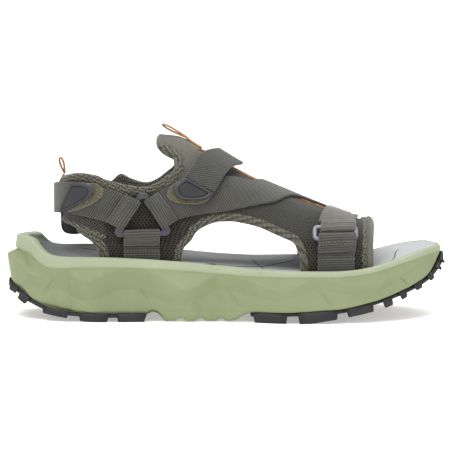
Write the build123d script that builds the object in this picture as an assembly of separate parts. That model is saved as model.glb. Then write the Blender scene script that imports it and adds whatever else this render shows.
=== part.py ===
from build123d import *
import math
import os

os.makedirs("parts", exist_ok=True)

# A chunky strapped sport sandal for the right foot, in millimetres.
# +X points to the toe, -Y is the outer (lateral) side, +Y the inner (medial) side, +Z is up.
# The origin is under the middle of the bounding box, on the ground.

LATERAL = -1
MEDIAL = 1

# ---- driving dimensions: sole ----
LIP_WIDTH = 5.5            # midsole rim around the footbed
RUBBER = 3.2               # outsole plate between the midsole and the lugs
BOARD = 2.0                # lasting board under the footbed
FOOTBED = 4.0              # footbed thickness
GAP = 0.3                  # clearance between neighbouring pieces
GLUE = 0.1                 # gap of a glued joint
TUCK = 3.2                 # how far the upper reaches below the footbed surface
SOLE_TOP = 62.0            # above every part of the sole
CUP_SPAN = (-142.0, 139.0) # footbed and board, along the sole

# ---- driving dimensions: upper, as heights off the foot surface ----
PANEL = (0.0, 2.6)         # mesh panels, tongue and heel band
BINDING = (0.0, 3.4)       # padded edges
RIBBON = (2.75, 3.3)       # piping along the ridge
WEB = (3.6, 5.2)           # webbing stitched to the panels
FIXED_PATCH = (5.4, 6.2)   # loop patches on the lower webbing
HOOK = (6.6, 7.4)          # hook patches under the strap ends
TOP_WEB = (7.6, 9.2)       # straps that close over the others
TAB = (7.6, 10.4)          # moulded strap ends
RING_LEVEL = 7.0           # middle of the rings
BAR = 1.25                 # half thickness of a ring bar
GUARD = (9.5, 11.3)        # moulded heel guard, outside every strap
TOE_EDGE = (0.0, 4.8)      # rolled edge of the toe opening
LOOP = 1.8                 # inner radius of webbing round a bar
THICK = 1.6                # webbing thickness

# ---- foot surface ----
HEEL_AXIS = -80.0          # the heel wraps round a vertical axis here
HEEL_BACK = -109.0         # rear of the foot surface
HEEL_ARC = 47.0            # length given to the quarter turn from side to back
HEEL_ROUND = 2.2           # roundness of the heel in plan
WALL_STEP = 40.0           # millimetres of wall per unit of girth under the footbed

# x, footbed surface height
FLOOR = [(-132, 51), (-124, 45.5), (-112, 42.8), (-83, 42), (-59, 41), (-32, 39), (-1, 36.2),
         (23, 34.5), (50, 34), (85, 34.5), (98, 36), (109, 38.5), (119, 41.4), (130, 44), (142, 46)]
# x, height of the foot's ridge
ROOF = [(-120, 178), (-82, 178), (-60, 143), (-47, 121), (-34, 119.3), (-23, 114), (-10, 107),
        (4, 98.5), (20, 90), (43, 80), (60, 72.8), (70, 68.8), (88, 63), (102, 61.5)]
# x, half width of the sole at the rim
SOLE_LATERAL = [(-150, 2.5), (-148, 11), (-144.5, 18.5), (-138, 26.5), (-128, 34), (-117, 39.5),
                (-105, 42.8), (-80, 44), (-50, 42.5), (-20, 40.5), (10, 44), (30, 50), (50, 53.5),
                (70, 53.5), (85, 51), (100, 46.5), (115, 40), (128, 31), (138, 20.5), (144.5, 11),
                (148.2, 2.5), (149.5, -2), (150, -5)]
SOLE_MEDIAL = [(-150, 2.5), (-148, 10), (-144.5, 17), (-138, 25), (-128, 33), (-117, 38.5), (-105, 41.8),
               (-80, 43), (-50, 39.5), (-20, 36), (10, 41.5), (30, 48.5), (50, 54.2), (75, 56.8), (95, 55.6),
               (110, 52.6), (123, 47), (134, 38), (142, 28), (147, 19), (149.3, 12.5), (150, 8.5)]
# x, squareness of the cross-section of the foot
SQUARE = [(-120, 2.0), (-30, 2.0), (20, 2.1), (60, 2.4), (100, 2.7)]

# ---- edges of the upper, as x and z on the side wall ----
COLLAR_LATERAL = [(-82.4, 96.3), (-74, 94.1), (-65.4, 92), (-55.5, 91), (-47, 93.7), (-42, 97.3),
                  (-38.5, 100)]
COLLAR_MEDIAL = [(-82.4, 88.5), (-73, 94.5), (-65.4, 91.2), (-55.5, 89), (-47, 92.5), (-42, 96.5),
                 (-38.5, 99.5)]
COLLAR_BACK = [(-40, 98.2), (-28, 99.6), (-14, 97.6), (0, 95.5), (14, 93.0), (28, 90.5), (40, 88.6)]
BINDING_WIDTH = 8.0        # collar
ARCH_WIDTH = 3.8           # binding round the arch opening
ARCH = [(-32.7, 36), (-29.5, 48.6), (-24, 55), (-21, 60), (-13.7, 65), (-5, 67.7), (2.7, 68),
        (12.6, 66.7), (22.4, 64.4), (29, 61.8), (36.7, 58.5), (46, 53.8), (47.7, 49.8), (49.7, 44.6),
        (50.7, 31.5)]


# ---- small mathematics ----

def curve(table, x):
    """Smooth monotone interpolation through the table's points."""
    if x <= table[0][0]:
        return table[0][1]
    if x >= table[-1][0]:
        return table[-1][1]
    gap = [b[0] - a[0] for a, b in zip(table, table[1:])]
    slope = [(b[1] - a[1]) / (b[0] - a[0]) for a, b in zip(table, table[1:])]
    tangent = [slope[0]]
    for i in range(1, len(slope)):
        if slope[i - 1] * slope[i] <= 0:
            tangent.append(0.0)
        else:
            first = 2 * gap[i] + gap[i - 1]
            second = gap[i] + 2 * gap[i - 1]
            tangent.append((first + second) / (first / slope[i - 1] + second / slope[i]))
    tangent.append(slope[-1])
    i = max(k for k in range(len(gap)) if table[k][0] <= x)
    t = (x - table[i][0]) / gap[i]
    return ((2 * t ** 3 - 3 * t ** 2 + 1) * table[i][1] + (t ** 3 - 2 * t ** 2 + t) * gap[i] * tangent[i]
            + (3 * t ** 2 - 2 * t ** 3) * table[i + 1][1] + (t ** 3 - t ** 2) * gap[i] * tangent[i + 1])


def mix(a, b, t):
    return a + (b - a) * t


def foot_width(x, side):
    """Half width of the foot surface at the footbed."""
    table = SOLE_LATERAL if side == LATERAL else SOLE_MEDIAL
    return curve(table, x) - LIP_WIDTH - WEB[1] - 2 * GAP


# ---- the foot surface ----

def crown(x, girth):
    """Point over the foot: girth 0 on the ridge, -1 and 1 on the footbed at the two sides."""
    side = LATERAL if girth < 0 else MEDIAL
    floor = curve(FLOOR, x)
    width = foot_width(x, side)
    if abs(girth) > 1:
        return Vector(x, side * width, floor - (abs(girth) - 1) * WALL_STEP)
    angle = abs(girth) * math.pi / 2
    power = curve(SQUARE, x)
    rise = curve(ROOF, x) - floor
    across = max(math.sin(angle), 0.0) / width
    up = max(math.cos(angle), 0.0) / rise
    radius = (across ** power + up ** power) ** (-1 / power)
    return Vector(x, side * radius * math.sin(angle), floor + radius * math.cos(angle))


def girth_at(x, z, side):
    """Girth of the point at height z on one side."""
    floor = curve(FLOOR, x)
    if z <= floor:
        return side * (1 + (floor - z) / WALL_STEP)
    power = curve(SQUARE, x)
    share = min((z - floor) / (curve(ROOF, x) - floor), 1.0)
    width = foot_width(x, side) * (1 - share ** power) ** (1 / power)
    return side * math.atan2(width, z - floor) / (math.pi / 2)


def heel(u, z):
    """Point on the heel: u runs round it from 0 at the back, negative to the lateral side."""
    side = LATERAL if u < 0 else MEDIAL
    if abs(u) >= HEEL_ARC:
        x = HEEL_AXIS + abs(u) - HEEL_ARC
        return crown(x, girth_at(x, z, side))
    angle = abs(u) / HEEL_ARC * math.pi / 2
    wide = abs(crown(HEEL_AXIS, girth_at(HEEL_AXIS, z, side)).Y)
    deep = HEEL_AXIS - HEEL_BACK
    along = math.cos(angle) / deep
    across = math.sin(angle) / wide
    radius = (along ** HEEL_ROUND + across ** HEEL_ROUND) ** (-1 / HEEL_ROUND)
    return Vector(HEEL_AXIS - radius * math.cos(angle), side * radius * math.sin(angle), z)


def u_at(x, side):
    """Heel coordinate of a place on the side wall, ahead of the heel's curve."""
    return side * (HEEL_ARC + x - HEEL_AXIS)


def with_normal(place, a, b):
    """A surface point and its outward normal."""
    step_a = 0.4
    step_b = 0.4 if place is heel else 0.01
    point = place(a, b)
    normal = (place(a + step_a, b) - place(a - step_a, b)).cross(
        place(a, b + step_b) - place(a, b - step_b)).normalized()
    core = Vector(max(point.X, HEEL_AXIS), 0, min(point.Z, curve(FLOOR, point.X) + 20))
    if normal.dot(point - core) < 0:
        normal = -normal
    return point, normal


# ---- bands on the foot surface ----

def resampled(points, place, count):
    """Evenly spaced surface coordinates along a line of surface coordinates."""
    spots = [place(a, b) for a, b in points]
    length = [0.0]
    for first, second in zip(spots, spots[1:]):
        length.append(length[-1] + max((second - first).length, 0.01))
    first_table = [(s, p[0]) for s, p in zip(length, points)]
    second_table = [(s, p[1]) for s, p in zip(length, points)]
    steps = [length[-1] * k / (count - 1) for k in range(count)]
    return [(curve(first_table, s), curve(second_table, s)) for s in steps]


def band(edge_a, edge_b, place, along, across):
    """Rows of surface points with normals from edge a to edge b."""
    edge_a = resampled(edge_a, place, along)
    edge_b = resampled(edge_b, place, along)
    rows = []
    for a, b in zip(edge_a, edge_b):
        row = []
        for k in range(across):
            t = k / (across - 1)
            row.append(with_normal(place, mix(a[0], b[0], t), mix(a[1], b[1], t)))
        rows.append(row)
    return rows


def closed_solid(sections):
    """Solid through sections, each given as an outer and an inner line of points."""
    wires = []
    caps = []
    for outer, inner in sections:
        top = Edge.make_spline(outer)
        bottom = Edge.make_spline(inner)
        far_side = Edge.make_line(outer[-1], inner[-1])
        near_side = Edge.make_line(inner[0], outer[0])
        wires.append(Wire([top, far_side, bottom, near_side]))
        caps.append((top, bottom))
    walls = Shell.make_loft(wires)
    ends = [Face.make_surface_from_curves(*caps[0]), Face.make_surface_from_curves(*caps[-1])]
    return Solid(Shell(list(walls.faces()) + ends))


def skin(rows, layer):
    """Solid between two heights off the foot surface."""
    low, high = layer
    return closed_solid([([p + n * high for p, n in row], [p + n * low for p, n in row]) for row in rows])


def under(x, z, side, height):
    """The foot surface's x and z under a point that is seen at a height off it."""
    base_x, base_z = x, z
    for _ in range(6):
        if base_z <= curve(FLOOR, base_x):
            return base_x, base_z
        point, normal = with_normal(crown, base_x, girth_at(base_x, base_z, side))
        base_x = x - normal.X * height
        base_z = z - normal.Z * height
    return base_x, base_z


def side_points(points, side, height=0.0):
    """Crown coordinates of x, z points on one side, seen at a height off the foot."""
    moved = [under(x, z, side, height) for x, z in points]
    return [(x, girth_at(x, z, side)) for x, z in moved]


def heel_points(points, side, height=0.0):
    """Heel coordinates of x, z points on the straight side wall."""
    moved = [under(x, z, side, height) for x, z in points]
    return [(u_at(x, side), z) for x, z in moved]


# ---- sole ----

HEEL_END = -149.8
TOE_END = 149.8
STATIONS = [HEEL_END, -149.2, -148.3, -147, -145, -142, -138, -133, -127, -120, -112, -103, -94, -85,
            -75, -65, -57, -54, -50, -46, -40, -28, -15, -5, 2, 9, 16, 25, 35, 46, 58, 70, 80, 88, 96,
            103, 110, 116, 122, 128, 133, 137.5, 141, 143.5, 145.8, 147.6, 148.8, TOE_END]
# x, top of the midsole's rim
RIM = [(-150, 46), (-148, 49.5), (-143, 53.2), (-136, 54.8), (-126, 49.5), (-114, 44.6), (-83, 44),
       (-59, 42.9), (-32, 40.8), (-1, 37.8), (23, 36), (50, 35.5), (71, 35.5), (85, 36), (98.5, 37.8),
       (109, 40.3), (119, 43.2), (129.4, 45.8), (139.7, 47.8), (150, 48.8)]
# x, where the midsole's foam meets the rubber or ends above the ground
PARTING = [(-150, 31), (-148.6, 24.7), (-140.7, 20.4), (-130.8, 13.8), (-112, 8.0), (-92.5, 6.2), (-54, 5.2),
           (-46, 0.8), (-40, 0.5), (2, 0.5), (9, 1.2), (16, 6.7), (46, 7.9), (74, 9.5), (96, 14), (116.4, 20),
           (136.6, 29), (143.5, 36), (148, 42), (150, 44.5)]
# x, bottom of the lugs
TREAD = [(-146, 19), (-141.8, 15.5), (-133, 9.2), (-120, 4.6), (-106, 2.3), (-90, 0), (52, 0), (69.5, 2.3),
         (83, 4.6), (97, 7.4), (106, 9.7), (118.4, 15), (131.5, 22.2), (140.5, 27.8), (145.6, 33.6)]
HEEL_RUBBER = (-148.3, -54.0)
TOE_RUBBER = (16.0, 147.6)
LUG_REACH = 1.5            # how far a lug runs up into the plate
LUG_INSET = 2.2            # from the sole's side to the outermost lug
LUG_CHANNEL = 3.2          # between two lugs of a row
PLATE_INSET = 0.8          # from the midsole's side to the rubber plate's


def sole_edge(x, side, inset):
    """Side of the sole at a station, moved inwards by inset, also round the ends."""
    table = SOLE_LATERAL if side == LATERAL else SOLE_MEDIAL
    end_share = min(max((abs(x) - 90) / (60 - inset), 0.0), 1.0)
    reach = x + math.copysign(inset * end_share, x)
    keep = math.sqrt(1 - end_share ** 2)
    return side * (curve(table, reach) - inset * keep)


def section(x, top, bottom, inset, bulge):
    """Cross-section of a sole layer at a station, with bulging sides."""
    lateral = sole_edge(x, LATERAL, inset)
    medial = sole_edge(x, MEDIAL, inset)
    middle = (top + bottom) / 2
    right = Edge.make_spline([(x, medial, top), (x, medial + bulge, middle), (x, medial, bottom)])
    left = Edge.make_spline([(x, lateral, bottom), (x, lateral - bulge, middle), (x, lateral, top)])
    return Wire([Edge.make_line((x, lateral, top), (x, medial, top)), right,
                 Edge.make_line((x, medial, bottom), (x, lateral, bottom)), left])


def sole_layer(stations, top, bottom, inset, bulge):
    """Solid between two heights, each a table or function of x."""
    return Solid.make_loft([section(x, top(x), bottom(x), inset, bulge) for x in stations], ruled=True)


def between(first, last):
    """Stations inside a stretch, with its ends."""
    return [first] + [x for x in STATIONS if first + 0.5 < x < last - 0.5] + [last]


def cup_floor(x):
    return curve(FLOOR, x) - FOOTBED - BOARD - GAP


def make_midsole():
    body = sole_layer(STATIONS, lambda x: curve(RIM, x), lambda x: curve(PARTING, x), 0, 1.4)
    cup = sole_layer(between(-143.5, 142.5), lambda x: SOLE_TOP, cup_floor, LIP_WIDTH, 0)
    return body - cup


def footbed_edge(x, side):
    """The footbed fills the cup at the ends and stays inside the tucked upper along the sides."""
    cup = abs(sole_edge(x, side, LIP_WIDTH + 0.4))
    inside = foot_width(x, side) - 2 * GAP
    share = max(min((-x - 90) / 16, 1), min((x - 102) / 12, 1), 0)
    return side * mix(inside, cup, share * share * (3 - 2 * share))


def layer_in_cup(top, bottom):
    """Flat-edged layer lying in the footbed cup."""
    wires = []
    for x in between(*CUP_SPAN):
        lateral, medial = footbed_edge(x, LATERAL), footbed_edge(x, MEDIAL)
        upper = [Vector(x, lateral, top(x)), Vector(x, medial, top(x))]
        lower = [Vector(x, medial, bottom(x)), Vector(x, lateral, bottom(x))]
        corners = upper + lower
        wires.append(Wire([Edge.make_line(a, b) for a, b in zip(corners, corners[1:] + corners[:1])]))
    return Solid.make_loft(wires, ruled=True)


def make_footbed():
    return layer_in_cup(lambda x: curve(FLOOR, x), lambda x: curve(FLOOR, x) - FOOTBED)


def make_lasting_board():
    top = FOOTBED + GLUE
    bottom = FOOTBED + BOARD
    return layer_in_cup(lambda x: curve(FLOOR, x) - top, lambda x: curve(FLOOR, x) - bottom)


def make_outsole(span, rows, columns):
    """Rubber plate under the midsole with a grid of separate lugs."""
    first, last = span
    plate = sole_layer(between(first, last), lambda x: curve(PARTING, x) - GLUE,
                       lambda x: curve(PARTING, x) - RUBBER, PLATE_INSET, 0)
    lugs = []
    for x, length in rows:
        near, far = x - length / 2, x + length / 2
        lateral = max(sole_edge(near, LATERAL, LUG_INSET), sole_edge(far, LATERAL, LUG_INSET))
        medial = min(sole_edge(near, MEDIAL, LUG_INSET), sole_edge(far, MEDIAL, LUG_INSET))
        pitch = (medial - lateral) / columns
        side = [(near, curve(TREAD, near)), (far, curve(TREAD, far)),
                (far, curve(PARTING, far) - LUG_REACH), (near, curve(PARTING, near) - LUG_REACH)]
        for k in range(columns):
            first_side = lateral + pitch * k + LUG_CHANNEL / 2
            face = Face(Wire.make_polygon([Vector(a, first_side, b) for a, b in side]))
            lugs.append(Solid.extrude(face, Vector(0, pitch - LUG_CHANNEL, 0)))
    return plate + lugs


HEEL_ROWS = [(-63.9, 19.9), (-89.5, 19.5), (-114.9, 17), (-136, 6.6), (-143.8, 5.0)]
TOE_ROWS = [(29.2, 22.5), (61, 26), (89.2, 18), (107.8, 7), (118.6, 5.5), (129.2, 5.5), (137.8, 3.6)]


# ---- upper panels ----

def dropped(line, amount):
    return [(x, z - amount) for x, z in line]


def collar_edge():
    """Collar line round the heel, from the lateral throat to the medial throat."""
    lateral = heel_points(COLLAR_LATERAL, LATERAL, BINDING[1])
    medial = heel_points(COLLAR_MEDIAL, MEDIAL, BINDING[1])
    return lateral[::-1] + COLLAR_BACK + medial


def make_heel_band():
    low = [(-42, 58.5), (-34, 61.5), (-16, 66), (0, 66), (16, 66), (34, 61.5), (42, 58.5)]
    high = [(u, curve(COLLAR_BACK, u) - BINDING_WIDTH - 2 * GAP) for u in (-42, -28, -14, 0, 14, 28, 42)]
    return skin(band(low, high, heel, 17, 7), PANEL)


def make_heel_seam(side):
    """Padded lower edge that closes the heel opening, under the heel band and down to the sole."""
    outer = [(-94, 57.8), (-90, 55), (-85.5, 49.4), (-84.5, 44.6), (-84.5, 39)]
    inner = [(-91, 57.8), (-86.5, 54), (-81, 49.4), (-79.8, 44.6), (-79.8, 39)]
    outer = [(side * (HEEL_ARC + x - HEEL_AXIS), z) for x, z in outer]
    inner = [(side * (HEEL_ARC + x - HEEL_AXIS), z) for x, z in inner]
    return skin(band(outer, inner, heel, 11, 3), BINDING)


def make_quarter(side):
    """Mesh panel between the heel band, the arch opening and the collar."""
    base = curve(FLOOR, -50) - TUCK
    rear_top = 86.8 if side == LATERAL else 77.0
    mid_top = 83.8 if side == LATERAL else 80.5
    rungs = [
        [(-78.6, base), (-79.8, 50), (-84.0, 56.5), (-84.3, 62), (-84.3, 72), (-84, rear_top)],
        [(-70, base), (-70, 50), (-70, 60), (-71, 72), (-73, mid_top)],
        [(-57, base), (-57, 50), (-57, 60), (-57, 70), (-57, 79.0)],
        [(-46, base), (-45, 50), (-43.5, 60), (-44, 72), (-45.5, 81.0)],
        [(-41, base), (-39, 50), (-34, 60), (-34, 76), (-36.8, 88.5)],
        [(-37.2, base), (-34.2, 50.5), (-27.3, 58.5), (-21, 68.5), (-19.8, 80), (-20.5, 96.5)],
    ]
    rows = []
    for rung in rungs:
        points = resampled(heel_points(rung, side), heel, 7)
        rows.append([with_normal(heel, a, b) for a, b in points])
    return skin(rows, PANEL)


def make_collar_binding():
    high = collar_edge()
    low = dropped(high, BINDING_WIDTH)
    return skin(band(low, high, heel, 33, 3), BINDING)


def make_vamp():
    """Mesh panel over the foot from the tongue to the toe opening."""
    low_edge = [(-18.5, 68.5), (-13, 70.6), (-8, 72), (-2, 72.8), (4, 72.8), (11, 72), (18, 70.6),
                (25, 68.6), (32, 66), (39, 63), (46, 61.5), (53, 61.5), (60, 62), (69, 61), (78, 59.5),
                (85, 58), (91, 56)]
    rows = []
    for x, low in low_edge:
        girths = [mix(girth_at(x, low, LATERAL), girth_at(x, low, MEDIAL), k / 12) for k in range(13)]
        rows.append([with_normal(crown, x, g) for g in girths])
    return skin(rows, PANEL)


def make_tongue():
    """Padded tongue standing above the throat, rounded at its tip."""
    rows = []
    for x, low in ((-47.5, 117), (-44, 112), (-38, 108.5), (-30, 104.5), (-19.2, 100)):
        reach = girth_at(x, low, MEDIAL)
        reach_lateral = girth_at(x, low, LATERAL)
        rows.append([with_normal(crown, x, mix(reach_lateral, reach, k / 8)) for k in range(9)])
    return skin(rows, PANEL)


def make_forefoot_panel(side):
    """Side panel in front of the arch opening, from the vamp down into the sole."""
    base = curve(FLOOR, 70) - TUCK
    rungs = []
    for x, foot, top in ((55.3, 55.3, 56), (64, 64, 56.5), (74, 74, 55), (83, 83, 53), (91, 91, 49.5)):
        rungs.append([(foot, base), (foot, 42), (x - 0.5, 50), (x, top)])
    rows = []
    for rung in rungs:
        points = resampled(side_points(rung, side), crown, 5)
        rows.append([with_normal(crown, a, b) for a, b in points])
    return skin(rows, PANEL)


def make_toe_binding():
    """Rolled edge round the toe opening."""
    base = curve(FLOOR, 95) - TUCK
    rear = [(91.3, base), (91.5, 46), (92.3, 54)]
    front = [(97.0, base), (97.6, 46), (98.6, 54)]
    rear_line = side_points(rear, LATERAL) + [(93.5, -0.4), (94, 0), (93.5, 0.4)]
    rear_line += side_points(rear, MEDIAL)[::-1]
    front_line = side_points(front, LATERAL) + [(99.5, -0.4), (100, 0), (99.5, 0.4)]
    front_line += side_points(front, MEDIAL)[::-1]
    return skin(band(rear_line, front_line, crown, 25, 3), TOE_EDGE)


def make_arch_binding(side):
    """Padded edge round the arch opening, open at the sole."""
    outer = [(x + dx, z + dz) for (x, z), (dx, dz) in zip(ARCH, arch_shift())]
    edge = side_points(ARCH, side, BINDING[1])
    return skin(band(edge, side_points(outer, side, BINDING[1]), crown, 31, 3), BINDING)


def arch_shift():
    """Offset of the binding's outer edge from the opening, square to the opening."""
    shifts = []
    for i in range(len(ARCH)):
        before = ARCH[max(i - 1, 0)]
        after = ARCH[min(i + 1, len(ARCH) - 1)]
        dx, dz = after[0] - before[0], after[1] - before[1]
        size = math.hypot(dx, dz)
        shifts.append((-dz / size * ARCH_WIDTH, dx / size * ARCH_WIDTH))
    return shifts


# ---- rings ----

TRI_TOP = (-56.2, 88.5)
TRI_REAR = (-76.5, 58.6)
TRI_FRONT = (-37.0, 59.2)
TRI_CENTRE = (-56.7, 68.5)
RING_ROUND = 2.6


def ring_plane(centre, side):
    """Plane of a ring that lies on the webbing, with X forward and Y up."""
    x, z = under(centre[0], centre[1], side, RING_LEVEL)
    point, normal = with_normal(crown, x, girth_at(x, z, side))
    forward = Vector(1, 0, 0) - normal * normal.X
    return Plane(origin=point + normal * RING_LEVEL, x_dir=forward.normalized(), z_dir=normal)


def in_plane(centre, side, corner):
    """Point of the ring's plane at an x, z place."""
    plane = ring_plane(centre, side)
    normal = plane.z_dir
    origin = plane.origin
    y = origin.Y - ((corner[0] - origin.X) * normal.X + (corner[1] - origin.Z) * normal.Z) / normal.Y
    return Vector(corner[0], y, corner[1])


def rounded_frame(corners, radius, normal):
    """Closed bar of a ring, square in section with rounded corners."""
    outline = Wire([Edge.make_line(a, b) for a, b in zip(corners, corners[1:] + corners[:1])])
    centre = outline.fillet_2d(radius, outline.vertices())
    face = Face(centre)
    outer = offset(face, amount=BAR, kind=Kind.ARC)
    inner = offset(face, amount=-BAR, kind=Kind.ARC)
    return extrude(outer - inner, amount=BAR, dir=normal, both=True)


def make_tri_ring(side):
    corners = [in_plane(TRI_CENTRE, side, c) for c in (TRI_REAR, TRI_FRONT, TRI_TOP)]
    return rounded_frame(corners, RING_ROUND, ring_plane(TRI_CENTRE, side).z_dir)


TOE_RING_CENTRE = (73.2, 60.6)
TOE_RING = (28.0, 7.2)
TOE_RING_ROUND = 1.4


def toe_ring_corners():
    half_x, half_z = TOE_RING[0] / 2, TOE_RING[1] / 2
    x, z = TOE_RING_CENTRE
    signs = ((-1, -1), (1, -1), (1, 1), (-1, 1))
    return [in_plane(TOE_RING_CENTRE, LATERAL, (x + a * half_x, z + b * half_z)) for a, b in signs]


def make_toe_ring():
    return rounded_frame(toe_ring_corners(), TOE_RING_ROUND, ring_plane(TOE_RING_CENTRE, LATERAL).z_dir)


# ---- straps that fold round a bar ----

def bar_meeting(path, bar):
    """Where a strap's path passes under a bar: distance along it and the bar's height there."""
    a, b = bar
    along = (b - a).normalized()
    best = None
    for k in range(0, 400):
        s = k * 0.1
        point, normal = walk(path, s)
        target = point + normal * RING_LEVEL
        foot = a + along * (target - a).dot(along)
        miss = (target - foot).length
        if best is None or miss < best[0]:
            best = (miss, s, (foot - point).dot(normal))
    return best[1], best[2]


def walk(path, s):
    """Surface point and normal at a distance along a path."""
    total = 0.0
    for (p, n), (q, m) in zip(path, path[1:]):
        step = (q - p).length
        if total + step >= s or q is path[-1][0]:
            t = (s - total) / step
            return p + (q - p) * t, (n + (m - n) * t).normalized()
        total += step
    return path[-1]


def path_length(path):
    return sum((q - p).length for (p, n), (q, m) in zip(path, path[1:]))


EASE = 5.0                 # distance over which webbing eases from a bar onto its layer


def layer_steps(start, end):
    """Distances along the flat part of a layer, close enough to follow the foot."""
    count = max(round((end - start - 9) / 6.5), 0)
    if count == 0:
        return [end]
    return [mix(start + 9, end, k / count) for k in range(count + 1)]


def fold_points(start, height, low_end, high_end, low_level, high_level, radius):
    """One face of a fold round a bar, as distances and heights, from the lower end to the upper end."""
    points = [(s, low_level) for s in layer_steps(start, low_end)[::-1]]
    if low_end > start + EASE + 1:
        points.append((start + EASE, mix(low_level, height - radius, 0.35)))
    for degrees in (-90, -135, 180, 135, 90):
        angle = math.radians(degrees)
        points.append((start + radius * math.cos(angle), height + radius * math.sin(angle)))
    if high_end > start + EASE + 1:
        points.append((start + EASE, mix(high_level, height + radius, 0.35)))
    return points + [(s, high_level) for s in layer_steps(start, high_end)]


def folded_strap(edge_a, edge_b, place, bar, low, high, low_end, high_end, along=41, across=5):
    """Webbing folded round a bar. Low and high are the layers, and the ends are distances from the bar."""
    rows = band(edge_a, edge_b, place, along, across)
    sections = []
    for k in range(across):
        path = [row[k] for row in rows]
        start, height = bar_meeting(path, bar)
        limit = path_length(path)
        low_stop = min(start + low_end, limit)
        high_stop = min(start + high_end, limit)
        outer = fold_points(start, height, low_stop, high_stop, low[0], high[1], LOOP + THICK)
        inner = fold_points(start, height, low_stop, high_stop, low[1], high[0], LOOP)
        sections.append(([lifted(path, s, h) for s, h in outer], [lifted(path, s, h) for s, h in inner]))
    return closed_solid(sections)


def lifted(path, s, h):
    point, normal = walk(path, s)
    return point + normal * h


def tri_bar(side, first, second):
    return in_plane(TRI_CENTRE, side, first), in_plane(TRI_CENTRE, side, second)


DOUBLED = (WEB[1] + 0.2, WEB[1] + 0.2 + THICK)
LONG = 400.0


def make_anchor_strap(side):
    """Strap from the bottom bar of the triangle down into the sole."""
    base = curve(FLOOR, -57) - TUCK
    rear = heel_points([(-69.3, 65), (-69.5, 50), (-69.5, base)], side)
    front = heel_points([(-45.5, 65), (-45.5, 50), (-45.5, base)], side)
    return folded_strap(rear, front, heel, tri_bar(side, TRI_REAR, TRI_FRONT), WEB, DOUBLED, LONG, 7.0)


def make_heel_side_strap():
    """Ribbed strap from the rear bar of the lateral triangle round the heel."""
    upper = heel_points([(-53.5, 77.8), (-66, 84.6), (-80, 89.5)], LATERAL, WEB[1])
    upper += [(-30, 91.2), (-14, 92.8), (-2, 93)]
    lower = heel_points([(-62.5, 56.6), (-76.4, 65.3), (-80, 67)], LATERAL, WEB[1])
    lower += [(-30, 71.2), (-14, 72.6), (-2, 72.8)]
    return folded_strap(upper, lower, heel, tri_bar(LATERAL, TRI_REAR, TRI_TOP), WEB, DOUBLED, LONG, 9.0)


def make_cross_strap():
    """Strap from the front bar of the lateral triangle over the vamp to the medial forefoot."""
    base = curve(FLOOR, 70) - TUCK
    upper = side_points([(-60, 77.5), (-51.5, 84.0), (-38, 91.5), (-24, 95.8), (-10, 97), (5, 96.8)],
                        LATERAL, WEB[1])
    upper += [(15.5, -0.12), (23.5, 0.0), (34.5, 0.14), (42.5, 0.3), (49.5, 0.48)]
    upper += side_points([(56, 50), (57, 42), (57, base)], MEDIAL)
    lower = side_points([(-50.5, 57.0), (-42, 62.8), (-29.5, 69.7), (-11.7, 72.9), (-0.5, 74.3), (12.6, 77.0),
                         (31.9, 80.5)], LATERAL, WEB[1])
    lower += [(46, -0.1), (57.5, 0.0), (65, 0.14), (71.5, 0.3), (77, 0.48)]
    lower += side_points([(81, 50), (81.5, 42), (81.5, base)], MEDIAL)
    bar = tri_bar(LATERAL, TRI_FRONT, TRI_TOP)
    return folded_strap(upper, lower, crown, bar, WEB, DOUBLED, LONG, 9.0, along=61)


INSTEP_REAR_RING = [(-57.4, 80.3), (-53.2, 83.0), (-44.8, 88.8), (-28.8, 97)]
INSTEP_FRONT_RING = [(-45.2, 61.5), (-41.0, 64.2), (-32.6, 69.9), (-9.3, 86)]


def make_instep_strap():
    """Medial half of the instep strap, from the ridge to the front bar of the medial triangle."""
    rear = side_points(INSTEP_REAR_RING, MEDIAL, TOP_WEB[1]) + [(-19.5, 0.10), (-9.8, 0.012)]
    front = side_points(INSTEP_FRONT_RING, MEDIAL, TOP_WEB[1]) + [(-0.5, 0.13), (7.2, 0.012)]
    bar = tri_bar(MEDIAL, TRI_FRONT, TRI_TOP)
    return folded_strap(rear, front, crown, bar, WEB, TOP_WEB, 12.0, LONG, along=41)


def make_instep_strap_end():
    """Lateral half of the instep strap, up to the moulded tab."""
    rear = [(-9.8, -0.012), (-19.5, -0.10)] + side_points([(-28.2, 97.6)], LATERAL, TOP_WEB[1])
    front = [(7.2, -0.012), (-0.5, -0.13)] + side_points([(-8.2, 86.9)], LATERAL, TOP_WEB[1])
    return skin(band(rear, front, crown, 9, 7), TOP_WEB)


def make_instep_tab():
    """Moulded end of the instep strap."""
    rear = side_points([(-29, 97), (-35.8, 91.2), (-34.6, 86.3), (-29.5, 82.6)], LATERAL, TAB[1])
    front = side_points([(-8.6, 86.2), (-9.6, 84.9), (-14, 83.6), (-19, 82.6)], LATERAL, TAB[1])
    return skin(band(rear, front, crown, 9, 7), TAB)


def patch(x_low, x_high, g_low, g_high, layer, lean=0.0):
    rear = [(x_low, g_low), (x_low + lean, g_high)]
    front = [(x_high, g_low), (x_high + lean, g_high)]
    return skin(band(rear, front, crown, 5, 5), layer)


def make_instep_hook():
    rear = side_points([(-28.5, 93.5), (-32.5, 89.5)], LATERAL, HOOK[1])
    front = side_points([(-12, 86.5), (-15.5, 84.0)], LATERAL, HOOK[1])
    return skin(band(rear, front, crown, 5, 5), HOOK)


def make_instep_loop_patch():
    rear = side_points([(-35.5, 91.5), (-41, 81.0)], LATERAL, FIXED_PATCH[1])
    front = side_points([(-13.5, 94.0), (-18.5, 81.0)], LATERAL, FIXED_PATCH[1])
    return skin(band(rear, front, crown, 5, 7), FIXED_PATCH)


HEEL_HINGE_U = -15.0


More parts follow.
